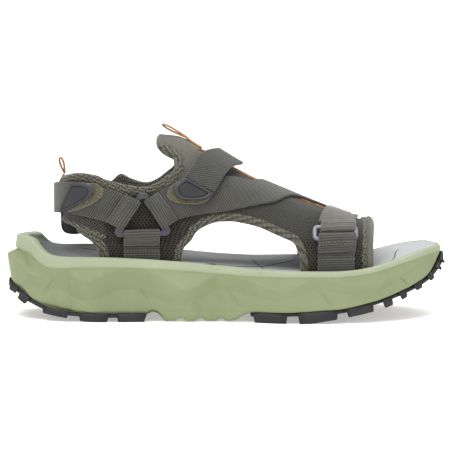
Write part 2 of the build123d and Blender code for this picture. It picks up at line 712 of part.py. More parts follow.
def make_heel_wrap():
    """Strap from the rear bar of the medial triangle round the back of the heel."""
    upper = heel_points([(-53.5, 77.8), (-66, 83.2), (-80, 86)], MEDIAL)
    upper += [(30, 88), (14, 90), (0, 90.8)]
    lower = heel_points([(-62.5, 56.6), (-76.4, 63.0), (-80, 64.8)], MEDIAL)
    lower += [(30, 67.5), (14, 70), (0, 70.6)]
    upper.append((HEEL_HINGE_U + 0.5, 92.4))
    lower.append((HEEL_HINGE_U + 0.5, 71.9))
    bar = tri_bar(MEDIAL, TRI_REAR, TRI_TOP)
    return folded_strap(upper, lower, heel, bar, WEB, TOP_WEB, 12.0, LONG)


def make_heel_strap_end():
    upper = [(HEEL_HINGE_U - 0.5, 92.4), (-22, 93.2), (-27.5, 93.4)]
    lower = [(HEEL_HINGE_U - 0.5, 71.9), (-17, 72.2), (-18.5, 72.6)]
    return skin(band(upper, lower, heel, 7, 5), TOP_WEB)


def make_heel_tab():
    upper = [(-28.2, 93.4), (-33.5, 93.4), (-39, 91)]
    lower = [(-19.2, 72.6), (-27, 76), (-37.5, 83.5)]
    return skin(band(upper, lower, heel, 7, 5), TAB)


def make_heel_hook():
    upper = [(-26.5, 90.5), (-33, 90)]
    lower = [(-22.5, 77.5), (-30.5, 83)]
    return skin(band(upper, lower, heel, 5, 5), HOOK)


def make_heel_loop_patch():
    upper = [(-24, 91.0), (-44.5, 87.5)]
    lower = [(-24, 75.2), (-44.5, 73.5)]
    return skin(band(upper, lower, heel, 7, 5), FIXED_PATCH)


def toe_bar(upper):
    corners = toe_ring_corners()
    return (corners[3], corners[2]) if upper else (corners[0], corners[1])


def make_toe_strap():
    """Strap from the medial sole over the toes, folded round the upper bar of the lateral ring."""
    low = curve(FLOOR, 75) - TUCK
    rear = side_points([(87.5, low), (87.0, 45)], MEDIAL) + [(84, 0.55), (78.5, 0.3), (72, 0.12), (69, 0.0)]
    rear += [(66.5, -0.18), (64, -0.36)] + side_points([(62.2, 58), (62, 49)], LATERAL)
    front = side_points([(90.6, low), (90.6, 45)], MEDIAL) + [(90.6, 0.55), (90.5, 0.3), (90, 0.12)]
    front.append((89.5, 0.0))
    front += [(88, -0.18), (86.6, -0.36)] + side_points([(85.0, 57), (84.8, 49)], LATERAL)
    return folded_strap(rear[::-1], front[::-1], crown, toe_bar(True), WEB, TOP_WEB, LONG, 4.0, along=61)


def make_toe_anchor():
    low = curve(FLOOR, 73) - TUCK
    rear = side_points([(61.3, 64), (61.3, 50), (61.3, low)], LATERAL)
    front = side_points([(85.2, 64), (85.2, 50), (85.2, low)], LATERAL)
    return folded_strap(rear, front, crown, toe_bar(False), WEB, DOUBLED, LONG, 7.5)


def make_toe_flap():
    """Free end of the toe strap, closed over the lower layer."""
    rear = side_points([(62.4, 69.8), (64.3, 73), (67.3, 77)], LATERAL, TOP_WEB[1])
    front = side_points([(85.9, 67.4), (87, 69.2), (88.2, 70.9)], LATERAL, TOP_WEB[1])
    return skin(band(rear, front, crown, 9, 7), TOP_WEB)


def make_toe_hook():
    return patch(68, 84, -0.12, -0.34, HOOK, lean=-2.5)


def make_toe_loop_patch():
    return patch(67, 85, -0.04, -0.36, FIXED_PATCH, lean=-2.5)


# ---- trim ----

def make_ridge_ribbon():
    """Orange-edged piping along the ridge."""
    rear = [(-17, -0.045), (0, -0.045), (40, -0.05), (88, -0.06)]
    front = [(-17, 0.045), (0, 0.045), (40, 0.05), (88, 0.06)]
    return skin(band(rear, front, crown, 17, 3), RIBBON)


RIBBON_THICK = 0.9


def teardrop(height, half, grow):
    """Outline of a loop standing on its base, narrow at the bottom."""
    points = []
    for degrees in range(-90, 270, 30):
        angle = math.radians(degrees)
        narrow = 0.35 + 0.65 * (0.5 + 0.5 * math.sin(angle))
        points.append((math.cos(angle) * half * narrow, height / 2 + math.sin(angle) * (height / 2 + grow)))
    return points


def ribbon_loop(base, height, lean, width, spread):
    """Pull loop of thin ribbon."""
    outer = [turned(base, lean, p) for p in teardrop(height, spread, 0.0)]
    inner = [turned(base, lean, p) for p in teardrop(height, spread - RIBBON_THICK, -RIBBON_THICK)]
    outer_face = Face(Wire([Edge.make_spline(outer, periodic=True)]))
    inner_face = Face(Wire([Edge.make_spline(inner, periodic=True)]))
    return extrude(outer_face - inner_face, amount=width / 2, dir=Vector(0, 1, 0), both=True)


def turned(base, lean, point):
    """Point of the XZ plane, leaned back about the base."""
    angle = math.radians(lean)
    x = point[0] * math.cos(angle) - point[1] * math.sin(angle)
    z = point[0] * math.sin(angle) + point[1] * math.cos(angle)
    return Vector(base[0] + x, 0, base[1] + z)


def make_heel_loop():
    return ribbon_loop((-110.7, 97.0), 11.8, 16, 7.0, 2.3)


def make_instep_loop():
    return ribbon_loop((-26.5, 121.5), 20.0, 62, 6.5, 1.9)


def make_heel_guard():
    """Moulded patch on the medial side of the heel."""
    upper = [(17.5, 92.5), (28, 93.6), (39, 92)]
    lower = [(17.5, 53.5), (28, 51), (39, 53.5)]
    return skin(band(upper, lower, heel, 9, 9), GUARD)


NODES = {
    "midsole": make_midsole,
    "heel_outsole": lambda: make_outsole(HEEL_RUBBER, HEEL_ROWS, 3),
    "forefoot_outsole": lambda: make_outsole(TOE_RUBBER, TOE_ROWS, 4),
    "lasting_board": make_lasting_board,
    "footbed": make_footbed,
    "heel_band": make_heel_band,
    "lateral_heel_seam": lambda: make_heel_seam(LATERAL),
    "medial_heel_seam": lambda: make_heel_seam(MEDIAL),
    "lateral_quarter": lambda: make_quarter(LATERAL),
    "medial_quarter": lambda: make_quarter(MEDIAL),
    "collar_binding": make_collar_binding,
    "vamp_panel": make_vamp,
    "tongue": make_tongue,
    "lateral_forefoot_panel": lambda: make_forefoot_panel(LATERAL),
    "medial_forefoot_panel": lambda: make_forefoot_panel(MEDIAL),
    "toe_binding": make_toe_binding,
    "lateral_arch_binding": lambda: make_arch_binding(LATERAL),
    "medial_arch_binding": lambda: make_arch_binding(MEDIAL),
    "lateral_tri_ring": lambda: make_tri_ring(LATERAL),
    "medial_tri_ring": lambda: make_tri_ring(MEDIAL),
    "toe_ring": make_toe_ring,
    "lateral_anchor_strap": lambda: make_anchor_strap(LATERAL),
    "medial_anchor_strap": lambda: make_anchor_strap(MEDIAL),
    "lateral_heel_strap": make_heel_side_strap,
    "cross_strap": make_cross_strap,
    "instep_strap": make_instep_strap,
    "instep_strap_end": make_instep_strap_end,
    "instep_tab": make_instep_tab,
    "instep_hook_patch": make_instep_hook,
    "instep_loop_patch": make_instep_loop_patch,
    "heel_wrap_strap": make_heel_wrap,
    "heel_strap_end": make_heel_strap_end,
    "heel_tab": make_heel_tab,
    "heel_hook_patch": make_heel_hook,
    "heel_loop_patch": make_heel_loop_patch,
    "toe_strap": make_toe_strap,
    "toe_anchor_strap": make_toe_anchor,
    "toe_strap_flap": make_toe_flap,
    "toe_hook_patch": make_toe_hook,
    "toe_loop_patch": make_toe_loop_patch,
    "ridge_ribbon": make_ridge_ribbon,
    "heel_pull_loop": make_heel_loop,
    "instep_pull_loop": make_instep_loop,
    "medial_heel_guard": make_heel_guard,
}

for name, make in NODES.items():
    export_step(make(), f"parts/{name}.step")
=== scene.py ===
import math

import bmesh
import bpy
import numpy as np
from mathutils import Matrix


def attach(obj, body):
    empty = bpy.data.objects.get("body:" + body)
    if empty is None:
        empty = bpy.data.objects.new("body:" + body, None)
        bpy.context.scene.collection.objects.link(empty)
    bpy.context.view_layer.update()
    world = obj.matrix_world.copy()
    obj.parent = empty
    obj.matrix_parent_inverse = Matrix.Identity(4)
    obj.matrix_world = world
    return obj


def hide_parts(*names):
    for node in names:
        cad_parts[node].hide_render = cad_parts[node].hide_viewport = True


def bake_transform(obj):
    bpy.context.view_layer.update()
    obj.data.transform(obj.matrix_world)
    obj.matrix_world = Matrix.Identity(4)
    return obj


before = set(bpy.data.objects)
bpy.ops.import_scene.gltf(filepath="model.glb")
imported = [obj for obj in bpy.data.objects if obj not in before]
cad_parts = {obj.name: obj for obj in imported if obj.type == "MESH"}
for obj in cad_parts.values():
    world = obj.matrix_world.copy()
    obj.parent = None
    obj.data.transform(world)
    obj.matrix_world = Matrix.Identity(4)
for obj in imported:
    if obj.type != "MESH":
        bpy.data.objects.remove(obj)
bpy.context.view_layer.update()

# Drawn in millimetres and scaled to metres when a mesh is made. +X toe, -Y lateral, +Y medial, +Z up.
MM = 0.001
LATERAL, MEDIAL = -1, 1

# ---- levels off the foot surface, as in the CAD: lower and upper face of each layer ----
BINDING_TOP = 3.4
WEB = (3.6, 5.2)
DOUBLED = (5.4, 7.0)
FIXED_PATCH = (5.4, 6.2)
HOOK = (6.6, 7.4)
TOP_WEB = (7.6, 9.2)
TAB_TOP = 10.4
GUARD = (9.5, 11.3)
RING_LEVEL = 7.0

# ---- sizes ----
RING_HALF = 1.25           # half the width of a ring's bar
LOOP = 1.8                 # radius inside a webbing fold
THICK = 1.6                # thickness of the webbing
LIP = 5.5                  # width of the rim along the sides
FOOTBED = 4.0              # thickness of the footbed
BOARD = 2.0                # thickness of the board
GAP = 0.3                  # clearance between the layers in the cup
TUCK = 3.2                 # depth that panels and straps reach below the footbed's top
RUBBER = 3.2               # thickness of the outsole plates
HEEL_AXIS = -80.0          # x where the rounded heel surface begins
HEEL_BACK = -109.0         # x of its rearmost point
HEEL_ARC = 47.0            # distance round it from the back to HEEL_AXIS
HEEL_ROUND = 2.2           # power of its plan curve, where 2 is an ellipse
WALL_STEP = 40.0           # height of wall for one unit of girth below the footbed
RIB_PITCH = 1.6            # pitch and height of the webbing's ribs
RIB = 0.11
STITCH_LIFT = 0.05         # height of a stitch's middle off its surface


class Curve:
    """Smooth monotone interpolation through points."""

    def __init__(self, table):
        self.x = np.array([p[0] for p in table], float)
        self.y = np.array([p[1] for p in table], float)
        self.gap = np.diff(self.x)
        slope = np.diff(self.y) / self.gap
        tangent = np.zeros(len(self.x))
        tangent[0], tangent[-1] = slope[0], slope[-1]
        for i in range(1, len(slope)):
            if slope[i - 1] * slope[i] > 0:
                first = 2 * self.gap[i] + self.gap[i - 1]
                second = self.gap[i] + 2 * self.gap[i - 1]
                tangent[i] = (first + second) / (first / slope[i - 1] + second / slope[i])
        self.tangent = tangent

    def __call__(self, x):
        x = np.clip(x, self.x[0], self.x[-1])
        i = np.clip(np.searchsorted(self.x, x, side="right") - 1, 0, len(self.gap) - 1)
        gap = self.gap[i]
        t = (x - self.x[i]) / gap
        return ((2 * t ** 3 - 3 * t ** 2 + 1) * self.y[i] + (t ** 3 - 2 * t ** 2 + t) * gap * self.tangent[i]
                + (3 * t ** 2 - 2 * t ** 3) * self.y[i + 1] + (t ** 3 - t ** 2) * gap * self.tangent[i + 1])


FLOOR = Curve([(-132, 51), (-124, 45.5), (-112, 42.8), (-83, 42), (-59, 41), (-32, 39), (-1, 36.2), (23, 34.5),
               (50, 34), (85, 34.5), (98, 36), (109, 38.5), (119, 41.4), (130, 44), (142, 46)])
ROOF = Curve([(-120, 178), (-82, 178), (-60, 143), (-47, 121), (-34, 119.3), (-23, 114), (-10, 107), (4, 98.5),
              (20, 90), (43, 80), (60, 72.8), (70, 68.8), (88, 63), (102, 61.5)])
SOLE = {
    LATERAL: Curve([(-150, 2.5), (-148, 11), (-144.5, 18.5), (-138, 26.5), (-128, 34), (-117, 39.5),
                    (-105, 42.8), (-80, 44), (-50, 42.5), (-20, 40.5), (10, 44), (30, 50), (50, 53.5),
                    (70, 53.5), (85, 51), (100, 46.5), (115, 40), (128, 31), (138, 20.5), (144.5, 11),
                    (148.2, 2.5), (149.5, -2), (150, -5)]),
    MEDIAL: Curve([(-150, 2.5), (-148, 10), (-144.5, 17), (-138, 25), (-128, 33), (-117, 38.5), (-105, 41.8),
                   (-80, 43), (-50, 39.5), (-20, 36), (10, 41.5), (30, 48.5), (50, 54.2), (75, 56.8), (95, 55.6),
                   (110, 52.6), (123, 47), (134, 38), (142, 28), (147, 19), (149.3, 12.5), (150, 8.5)]),
}
SQUARE = Curve([(-120, 2), (-30, 2), (20, 2.1), (60, 2.4), (100, 2.7)])
PARTING_REAR = [(-150, 31), (-148.6, 24.7), (-140.7, 20.4), (-130.8, 13.8), (-112, 8), (-92.5, 6.2), (-54, 5.2)]
PARTING_FRONT = [(16, 6.7), (46, 7.9), (74, 9.5), (96, 14), (116.4, 20), (136.6, 29), (143.5, 36), (148, 42),
                 (150, 44.5)]
PARTING = Curve(PARTING_REAR + [(-46, 0.8), (-40, 0.5), (2, 0.5), (9, 1.2)] + PARTING_FRONT)
TREAD = Curve([(-146, 19), (-141.8, 15.5), (-133, 9.2), (-120, 4.6), (-106, 2.3), (-90, 0), (52, 0),
               (69.5, 2.3), (83, 4.6), (97, 7.4), (106, 9.7), (118.4, 15), (131.5, 22.2), (140.5, 27.8),
               (145.6, 33.6)])


def mix(a, b, t):
    return a + (b - a) * t


def ramp(x, low, high):
    """Smooth step from 0 at low to 1 at high."""
    t = np.clip((x - low) / (high - low), 0, 1)
    return t * t * (3 - 2 * t)


def length_of(v):
    return np.sqrt((v * v).sum(-1))


def unit(v):
    return v / length_of(v)[..., None]


def bent(wave, power):
    """A sine or cosine pushed out towards a square."""
    return np.sign(wave) * np.abs(wave) ** power


def dip(x, centre, width):
    """Bell of height 1."""
    return np.exp(-((x - centre) / width) ** 2)


def xyz(x, y, z):
    return np.stack(np.broadcast_arrays(x, y, z), -1)


def run_along(line, least=0.0):
    """Distance along a line to each of its points."""
    return np.concatenate([[0], np.cumsum(np.maximum(length_of(np.diff(line, axis=0)), least))])


def read_at(at, run, table):
    """Rows of a table at distances between its own."""
    return np.stack([np.interp(at, run, column) for column in np.asarray(table).T], -1)


def smooth_at(at, run, table):
    """The same, on smooth curves through the columns."""
    return np.stack([Curve(list(zip(run, column)))(at) for column in np.asarray(table).T], -1)


def smoothed(ring, times):
    """Closed ring of points, each drawn towards its neighbours."""
    for _ in range(times):
        ring = (np.roll(ring, 1, 0) + 2 * ring + np.roll(ring, -1, 0)) / 4
    return ring


# ---- the foot surface ----

def foot_width(x, side):
    width = np.where(side < 0, SOLE[LATERAL](x), SOLE[MEDIAL](x))
    return width - LIP - WEB[1] - 2 * GAP


def crown(x, girth):
    """Point over the foot: girth 0 on the ridge, -1 and 1 on the footbed at the sides."""
    x, girth = np.broadcast_arrays(np.asarray(x, float), np.asarray(girth, float))
    side = np.where(girth < 0, -1.0, 1.0)
    floor = FLOOR(x)
    width = foot_width(x, side)
    angle = np.minimum(np.abs(girth), 1) * np.pi / 2
    power = SQUARE(x)
    across = np.maximum(np.sin(angle), 1e-9) / width
    up = np.maximum(np.cos(angle), 1e-9) / (ROOF(x) - floor)
    radius = (across ** power + up ** power) ** (-1 / power)
    y = side * radius * np.sin(angle)
    z = floor + radius * np.cos(angle)
    below = np.abs(girth) > 1
    y = np.where(below, side * width, y)
    z = np.where(below, floor - (np.abs(girth) - 1) * WALL_STEP, z)
    return np.stack([x, y, z], -1)


def girth_at(x, z, side):
    x, z, side = np.broadcast_arrays(np.asarray(x, float), np.asarray(z, float), np.asarray(side, float))
    floor = FLOOR(x)
    power = SQUARE(x)
    share = np.clip((z - floor) / (ROOF(x) - floor), 0, 1)
    width = foot_width(x, side) * (1 - share ** power) ** (1 / power)
    above = side * np.arctan2(width, np.maximum(z - floor, 1e-9)) / (np.pi / 2)
    return np.where(z <= floor, side * (1 + (floor - z) / WALL_STEP), above)


def heel(u, z):
    """Point on the heel: u runs round it from 0 at the back, negative to the lateral side."""
    u, z = np.broadcast_arrays(np.asarray(u, float), np.asarray(z, float))
    side = np.where(u < 0, -1.0, 1.0)
    x = HEEL_AXIS + np.maximum(np.abs(u) - HEEL_ARC, 0)
    ahead = crown(x, girth_at(x, z, side))
    angle = np.minimum(np.abs(u) / HEEL_ARC, 1) * np.pi / 2
    wide = np.abs(crown(HEEL_AXIS + 0 * u, girth_at(HEEL_AXIS + 0 * u, z, side))[..., 1])
    deep = HEEL_AXIS - HEEL_BACK
    radius = ((np.cos(angle) / deep) ** HEEL_ROUND + (np.sin(angle) / wide) ** HEEL_ROUND) ** (-1 / HEEL_ROUND)
    back = np.stack([HEEL_AXIS - radius * np.cos(angle), side * radius * np.sin(angle), z], -1)
    return np.where((np.abs(u) >= HEEL_ARC)[..., None], ahead, back)


def on_foot(place, a, b):
    """Surface points and their outward normals."""
    a, b = np.asarray(a, float), np.asarray(b, float)
    step = 0.4 if place is heel else 0.01
    point = place(a, b)
    normal = np.cross(place(a + 0.4, b) - place(a - 0.4, b), place(a, b + step) - place(a, b - step))
    normal /= np.maximum(length_of(normal), 1e-12)[..., None]
    core = np.stack([np.maximum(point[..., 0], HEEL_AXIS), 0 * point[..., 0],
                     np.minimum(point[..., 2], FLOOR(point[..., 0]) + 20)], -1)
    flip = ((normal * (point - core)).sum(-1) < 0)[..., None]
    return point, np.where(flip, -normal, normal)


def under(x, z, side, height):
    """Foot surface x and z under points that are seen at a height off it."""
    x, z = np.asarray(x, float), np.asarray(z, float)
    base_x, base_z = x.copy(), z.copy()
    for _ in range(6):
        _, normal = on_foot(crown, base_x, girth_at(base_x, base_z, side))
        low = base_z <= FLOOR(base_x)
        base_x = np.where(low, base_x, x - normal[..., 0] * height)
        base_z = np.where(low, base_z, z - normal[..., 2] * height)
    return base_x, base_z


def side_points(points, side, height=0.0):
    x, z = under(*zip(*points), side, height)
    return [(a, float(girth_at(a, b, side))) for a, b in zip(x, z)]


def heel_points(points, side, height=0.0):
    x, z = under(*zip(*points), side, height)
    return [(side * (HEEL_ARC + a - HEEL_AXIS), b) for a, b in zip(x, z)]


def resample(points, place, shares):
    """Surface coordinates at shares of the length of a line of surface coordinates."""
    points = np.array(points, float)
    run = run_along(place(points[:, 0], points[:, 1]), 0.01)
    return smooth_at(np.asarray(shares) * run[-1], run, points)


def band(edge_a, edge_b, place, along, across):
    """Grid of surface points and normals from edge a to edge b."""
    a = resample(edge_a, place, along)[:, None, :]
    b = resample(edge_b, place, along)[:, None, :]
    spot = a + (b - a) * np.asarray(across)[None, :, None]
    return on_foot(place, spot[..., 0], spot[..., 1])


EDGE_STEPS = (0, 0.03, 0.12, 0.3, 0.6, 1.0)


def spaced(length, edge, step):
    """Shares of a length, closer together at rounded edges."""
    ends = edge * np.array(EDGE_STEPS)
    count = max(int(round((length - 2 * edge) / step)), 2)
    middle = np.linspace(edge, length - edge, count + 1)[1:-1]
    return np.concatenate([ends, middle, length - ends[::-1]]) / length


# ---- meshes ----

class Build:
    """Collects the meshes of one object."""

    def __init__(self):
        self.verts, self.faces, self.uvs, self.tones, self.mats = [], [], [], [], []
        self.count = 0

    def add(self, verts, faces, uv=None, tone=None, mat=0):
        verts = np.asarray(verts, float).reshape(-1, 3)
        self.verts.append(verts)
        self.uvs.append(np.zeros((len(verts), 2)) if uv is None else np.asarray(uv, float).reshape(-1, 2))
        self.tones.append(np.zeros(len(verts)) if tone is None else np.asarray(tone, float).reshape(-1))
        self.faces += [[i + self.count for i in face] for face in faces]
        self.mats += [mat] * len(faces)
        self.count += len(verts)

    def object(self, name, *materials):
        mesh = bpy.data.meshes.new(name)
        mesh.from_pydata((np.concatenate(self.verts) * MM).tolist(), [], self.faces)
        uv = np.concatenate(self.uvs)
        layer = mesh.uv_layers.new(name="flow")
        loops = np.zeros(len(mesh.loops), int)
        mesh.loops.foreach_get("vertex_index", loops)
        layer.data.foreach_set("uv", uv[loops].reshape(-1))
        tone = mesh.attributes.new("tone", "FLOAT", "POINT")
        tone.data.foreach_set("value", np.concatenate(self.tones))
        for material in materials:
            mesh.materials.append(material)
        mesh.polygons.foreach_set("material_index", self.mats)
        mesh.polygons.foreach_set("use_smooth", [True] * len(mesh.polygons))
        work = bmesh.new()
        work.from_mesh(mesh)
        bmesh.ops.remove_doubles(work, verts=work.verts, dist=1e-7)
        bmesh.ops.recalc_face_normals(work, faces=work.faces)
        work.to_mesh(mesh)
        work.free()
        mesh.update()
        obj = bpy.data.objects.new(name, mesh)
        bpy.context.scene.collection.objects.link(obj)
        return obj


def grid_faces(rows, columns, closed=False):
    faces = []
    for i in range(rows - 1):
        for j in range(columns if closed else columns - 1):
            k = (j + 1) % columns
            faces.append([i * columns + j, (i + 1) * columns + j, (i + 1) * columns + k, i * columns + k])
    return faces


def end_caps(rows, sides):
    """Faces that close both ends of a tube of rings."""
    last = (rows - 1) * sides
    return [list(range(sides)), list(range(last + sides - 1, last - 1, -1))]


def run_of(points, axis):
    """Distance along an axis of a grid of points."""
    step = length_of(np.diff(points, axis=axis))
    start = np.zeros_like(np.take(step, [0], axis=axis))
    return np.cumsum(np.concatenate([start, step], axis=axis), axis=axis)


def rounding(points, edge):
    """Share of the full thickness at each grid point, falling to none at the edges."""
    along, across = run_of(points, 0), run_of(points, 1)
    near_end = np.minimum(along, along[-1:] - along)
    near_side = np.minimum(across, across[:, -1:] - across)
    a = np.clip(1 - near_end / edge, 0, 1)
    b = np.clip(1 - near_side / edge, 0, 1)
    return np.sqrt(np.clip(1 - a * a - b * b, 0, 1)), along, across


def closed_skin(build, middle, up, down, uv, mat=0):
    """Adds a closed skin whose two faces share their edge points."""
    rows, columns = middle.shape[:2]
    top, bottom = (middle + up).reshape(-1, 3), (middle + down).reshape(-1, 3)
    index = np.arange(rows * columns).reshape(rows, columns)
    inside = np.zeros((rows, columns), bool)
    inside[1:-1, 1:-1] = True
    lower = index.copy()
    lower[inside] = rows * columns + np.arange(inside.sum())
    inside = inside.reshape(-1)
    top[~inside] = (top[~inside] + bottom[~inside]) / 2
    uv = uv.reshape(-1, 2)
    faces = grid_faces(rows, columns)
    lower = lower.reshape(-1)
    faces += [[int(lower[v]) for v in face[::-1]] for face in faces]
    build.add(np.concatenate([top, bottom[inside]]), faces, np.concatenate([uv, uv[inside]]), mat=mat)


def skin(build, grid, layer, edge=0.8, swell=0.0, relief=None, mat=0):
    """Rounded-edged skin between two heights off a grid of surface points."""
    points, normals = grid
    low, high = layer
    share, along, across = rounding(points, edge)
    width = across[:, -1:]
    extra = swell * (1 - (2 * across / width - 1) ** 2) * share
    if relief is not None:
        extra = extra + relief(along, across) * share
    half = (high - low) / 2 * share
    closed_skin(build, points + normals * (low + high) / 2, normals * (half + extra)[..., None],
                -normals * half[..., None], np.stack([along, across], -1), mat)


def panel(name, node, grid, layer, edge, swell, material):
    """A piece that is one skin."""
    build = Build()
    skin(build, grid, layer, edge, swell)
    keep(build, name, "sandal", [node] if node else [], [material])


def capsules(build, centres, forward, up, length, radius, mat):
    """Stitches: short rounded threads lying on a surface."""
    sides = 6
    rings = [(-0.5, 0.35), (-0.4, 0.8), (0.0, 1.0), (0.4, 0.8), (0.5, 0.35)]
    angle = np.arange(sides) * 2 * np.pi / sides
    faces = grid_faces(len(rings), sides, True) + end_caps(len(rings), sides)
    for c, f, n, s in zip(centres, forward, up, np.cross(up, forward)):
        verts = [c + f * (length * t) + (s * np.cos(angle)[k] + n * np.sin(angle)[k]) * radius * size
                 for t, size in rings for k in range(sides)]
        build.add(verts, faces, mat=mat)


def stitch_line(build, line, normals, pitch, length, radius, mat=1):
    """Row of stitches along a line of points with normals."""
    run = run_along(line)
    count = max(int(run[-1] / pitch), 1)
    at = (np.arange(count) + 0.5) * run[-1] / count
    ahead = unit(read_at(at + 0.4, run, line) - read_at(at - 0.4, run, line))
    up = read_at(at, run, normals)
    up = unit(up - ahead * (up * ahead).sum(-1)[:, None])
    capsules(build, read_at(at, run, line) + up * STITCH_LIFT, ahead, up, length, radius, mat)


def stitch_column(build, grid, column, ends, height, *stitch, shift=0.0, mat=1):
    """Stitches along one column of a grid, at a height off the surface."""
    points, normals = (part[ends:-ends, column] for part in grid)
    stitch_line(build, points + normals * height + np.array([shift, 0, 0]), normals, *stitch, mat)


def tube(build, line, radius, sides=10, mat=0):
    """Round cord along a line of points."""
    line = np.asarray(line, float)
    radius = np.broadcast_to(radius, len(line))
    ahead = unit(np.gradient(line, axis=0))
    up = np.cross(ahead[0], [0.3, 0.9, 0.2])
    verts = []
    angle = np.arange(sides) * 2 * np.pi / sides
    for p, a, r in zip(line, ahead, radius):
        up = unit(up - a * (up @ a))
        side = np.cross(a, up)
        verts += [p + (up * math.cos(t) + side * math.sin(t)) * r for t in angle]
    faces = grid_faces(len(line), sides, True) + end_caps(len(line), sides)
    uv = np.stack([np.repeat(run_along(line), sides), np.tile(angle * radius.mean(), len(line))], -1)
    build.add(verts, faces, uv, mat=mat)


def keep(build, name, body, nodes, materials):
    """Makes the object, puts it on its body and hides the CAD nodes it stands for."""
    obj = build.object(name, *materials)
    if body:
        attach(obj, body)
    if nodes:
        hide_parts(*nodes)
    return obj


# ---- sole ----

TOE_END = 149.8
OUTLINE_COUNT = 1080
# x, bottom of the foam, with the raised stretch behind the midfoot pod
FOAM_BOTTOM = Curve(PARTING_REAR + [(-50, 6.8), (-47.5, 6.5), (-40, 0.6), (0, 0.6), (6, 1.6), (10.5, 4.6)]
                    + PARTING_FRONT)
# the rim stays high round the back, where the upper tier is set in
TOP = Curve([(-150, 55.6), (-143, 55.4), (-136, 54.8), (-131, 51.2), (-126, 47.6), (-120, 45.2), (-112, 44.3),
             (-83, 44), (-59, 42.9), (-32, 40.8), (-1, 37.8), (23, 36), (50, 35.5), (71, 35.5), (85, 36),
             (98.5, 37.8), (109, 40.3), (119, 43.2), (129.4, 45.8), (139.7, 47.8), (150, 48.8)])
POD_NOTCHES = (-31.0, -17.5, -3.8)
# x, height of the lip band's lower edge, and of the two waves of the side wall
LIP_DEPTH = Curve([(-150, 9), (-136, 9.5), (-117, 8), (-95, 6.6), (-60, 6), (0, 5), (60, 3.6), (150, 3.4)])
WAVE = Curve([(-150, 44.5), (-144, 43), (-138.6, 38.8), (-132.4, 34), (-127.6, 33.1), (-121.9, 34.6),
              (-116, 37.3), (-109.5, 37.6), (-103.3, 33), (-96.5, 28.5), (-92.3, 27.8), (-86.8, 29.9),
              (-80, 34), (-62.8, 38.1), (-45, 31), (-27.1, 22.3), (-14, 28.5), (-3.1, 33.6), (17, 27.5),
              (37.4, 22.3), (50, 27), (60.8, 30.5), (79, 27.2), (97.1, 24.4), (108, 30), (119, 36.7),
              (130, 42), (150, 48)])
SECOND_WAVE = Curve([(-150, 30), (-140, 26), (-127, 22), (-112, 21), (-96.5, 14.8), (-82, 18), (-66, 22.4),
                     (-48, 16.5), (-32, 11.6), (-18, 16), (-3, 22), (16, 18.5), (35, 15.7), (48, 19.5),
                     (58.6, 23.4), (76, 21), (94, 19.5), (106, 24.5), (118, 31), (130, 37.5), (150, 46)])
SLITS = [((-117, 28.5), (-126.7, 16.8)), ((-58.7, 23), (-51.8, 12.7)), ((-0.3, 23), (9.3, 9.3)),
         ((62.1, 23), (71.1, 11.3)), ((117, 31), (123.9, 23.5))]
POD_LINE = (-46, 11, 7.2)


def outline():
    """Closed line round the sole with outward normals and the distance from the back."""
    x = TOE_END * np.sin(np.linspace(-np.pi / 2, np.pi / 2, 500))
    line = np.concatenate([np.stack([x, -SOLE[LATERAL](x)], -1), np.stack([x, SOLE[MEDIAL](x)], -1)[::-1]])
    line = np.concatenate([[(line[0] + line[-1]) / 2], line])
    ring = np.concatenate([line, line[:1]])
    run = run_along(ring, 1e-6)
    at = np.arange(OUTLINE_COUNT) * run[-1] / OUTLINE_COUNT
    line = smoothed(read_at(at, run, ring), 30)
    ahead = unit(np.roll(line, -1, 0) - np.roll(line, 1, 0))
    normal = np.stack([ahead[:, 1], -ahead[:, 0]], -1)
    if (normal * line).sum() < 0:
        normal = -normal
    return line, normal, np.minimum(at, run[-1] - at)


def spine_of(x, reach):
    """Line down the middle of the sole that its outline is filled towards."""
    x = np.clip(x * 0.8, -reach, reach)
    return np.stack([x, (SOLE[MEDIAL](x) - SOLE[LATERAL](x)) / 2], -1)


def to_line(px, pz, segment):
    """Distance to a segment, and the share of the way along it."""
    (ax, az), (bx, bz) = segment
    dx, dz = bx - ax, bz - az
    t = np.clip(((px - ax) * dx + (pz - az) * dz) / (dx * dx + dz * dz), 0, 1)
    return np.hypot(px - ax - t * dx, pz - az - t * dz), t


def side_relief(x, z, back):
    """Outward offset of the foam's side wall, and the share of painted highlight on its lip band."""
    lip = TOP(x) - LIP_DEPTH(x)
    wave = np.minimum(WAVE(x), lip - 0.2)
    second = SECOND_WAVE(x)
    fade = 1 - 0.75 * ramp(x, 118, 142) - 0.8 * ramp(-x, 130, 147)
    bowl = 0.31 * np.clip(lip - z, 0, None)
    ridge = 0.31 * (lip - wave)
    hollow = ridge - 0.34 * (wave - z)
    trough = ridge - 0.34 * (wave - second)
    lower = trough + 0.17 * (second - z)
    offset = np.where(z > wave, bowl, np.where(z > second, hollow, lower)) * fade
    offset = np.where(z > lip, 0, offset)
    offset = offset + (1 - ramp(x, 118, 140)) * ramp(z, lip - 0.7, lip + 0.7)
    tier = 6.3 * (1 - ramp(back, 16, 62))
    offset = offset - tier * ramp(z, wave - 2.2, wave + 1.2)
    for slit in SLITS:
        away, share = to_line(x, z, slit)
        offset = offset - 1.1 * dip(away, 0, 0.55) * np.sin(np.pi * np.clip(share, 0.02, 0.98)) ** 0.5
    start, stop, height = POD_LINE
    along = ramp(x, start, start + 4) * (1 - ramp(x, stop - 4, stop))
    offset = offset - 0.6 * along * dip(z, height, 0.5)
    # The second value rises to 1 above the lip edge; the foam material paints that band lighter as a painted
    # highlight.
    return offset, ramp(z, lip - 0.7, lip + 0.7)


def inner_lip(back):
    """Width of the rim: broader where the cup leans back at the heel."""
    return LIP + 9.0 * (1 - ramp(back, 14, 66))


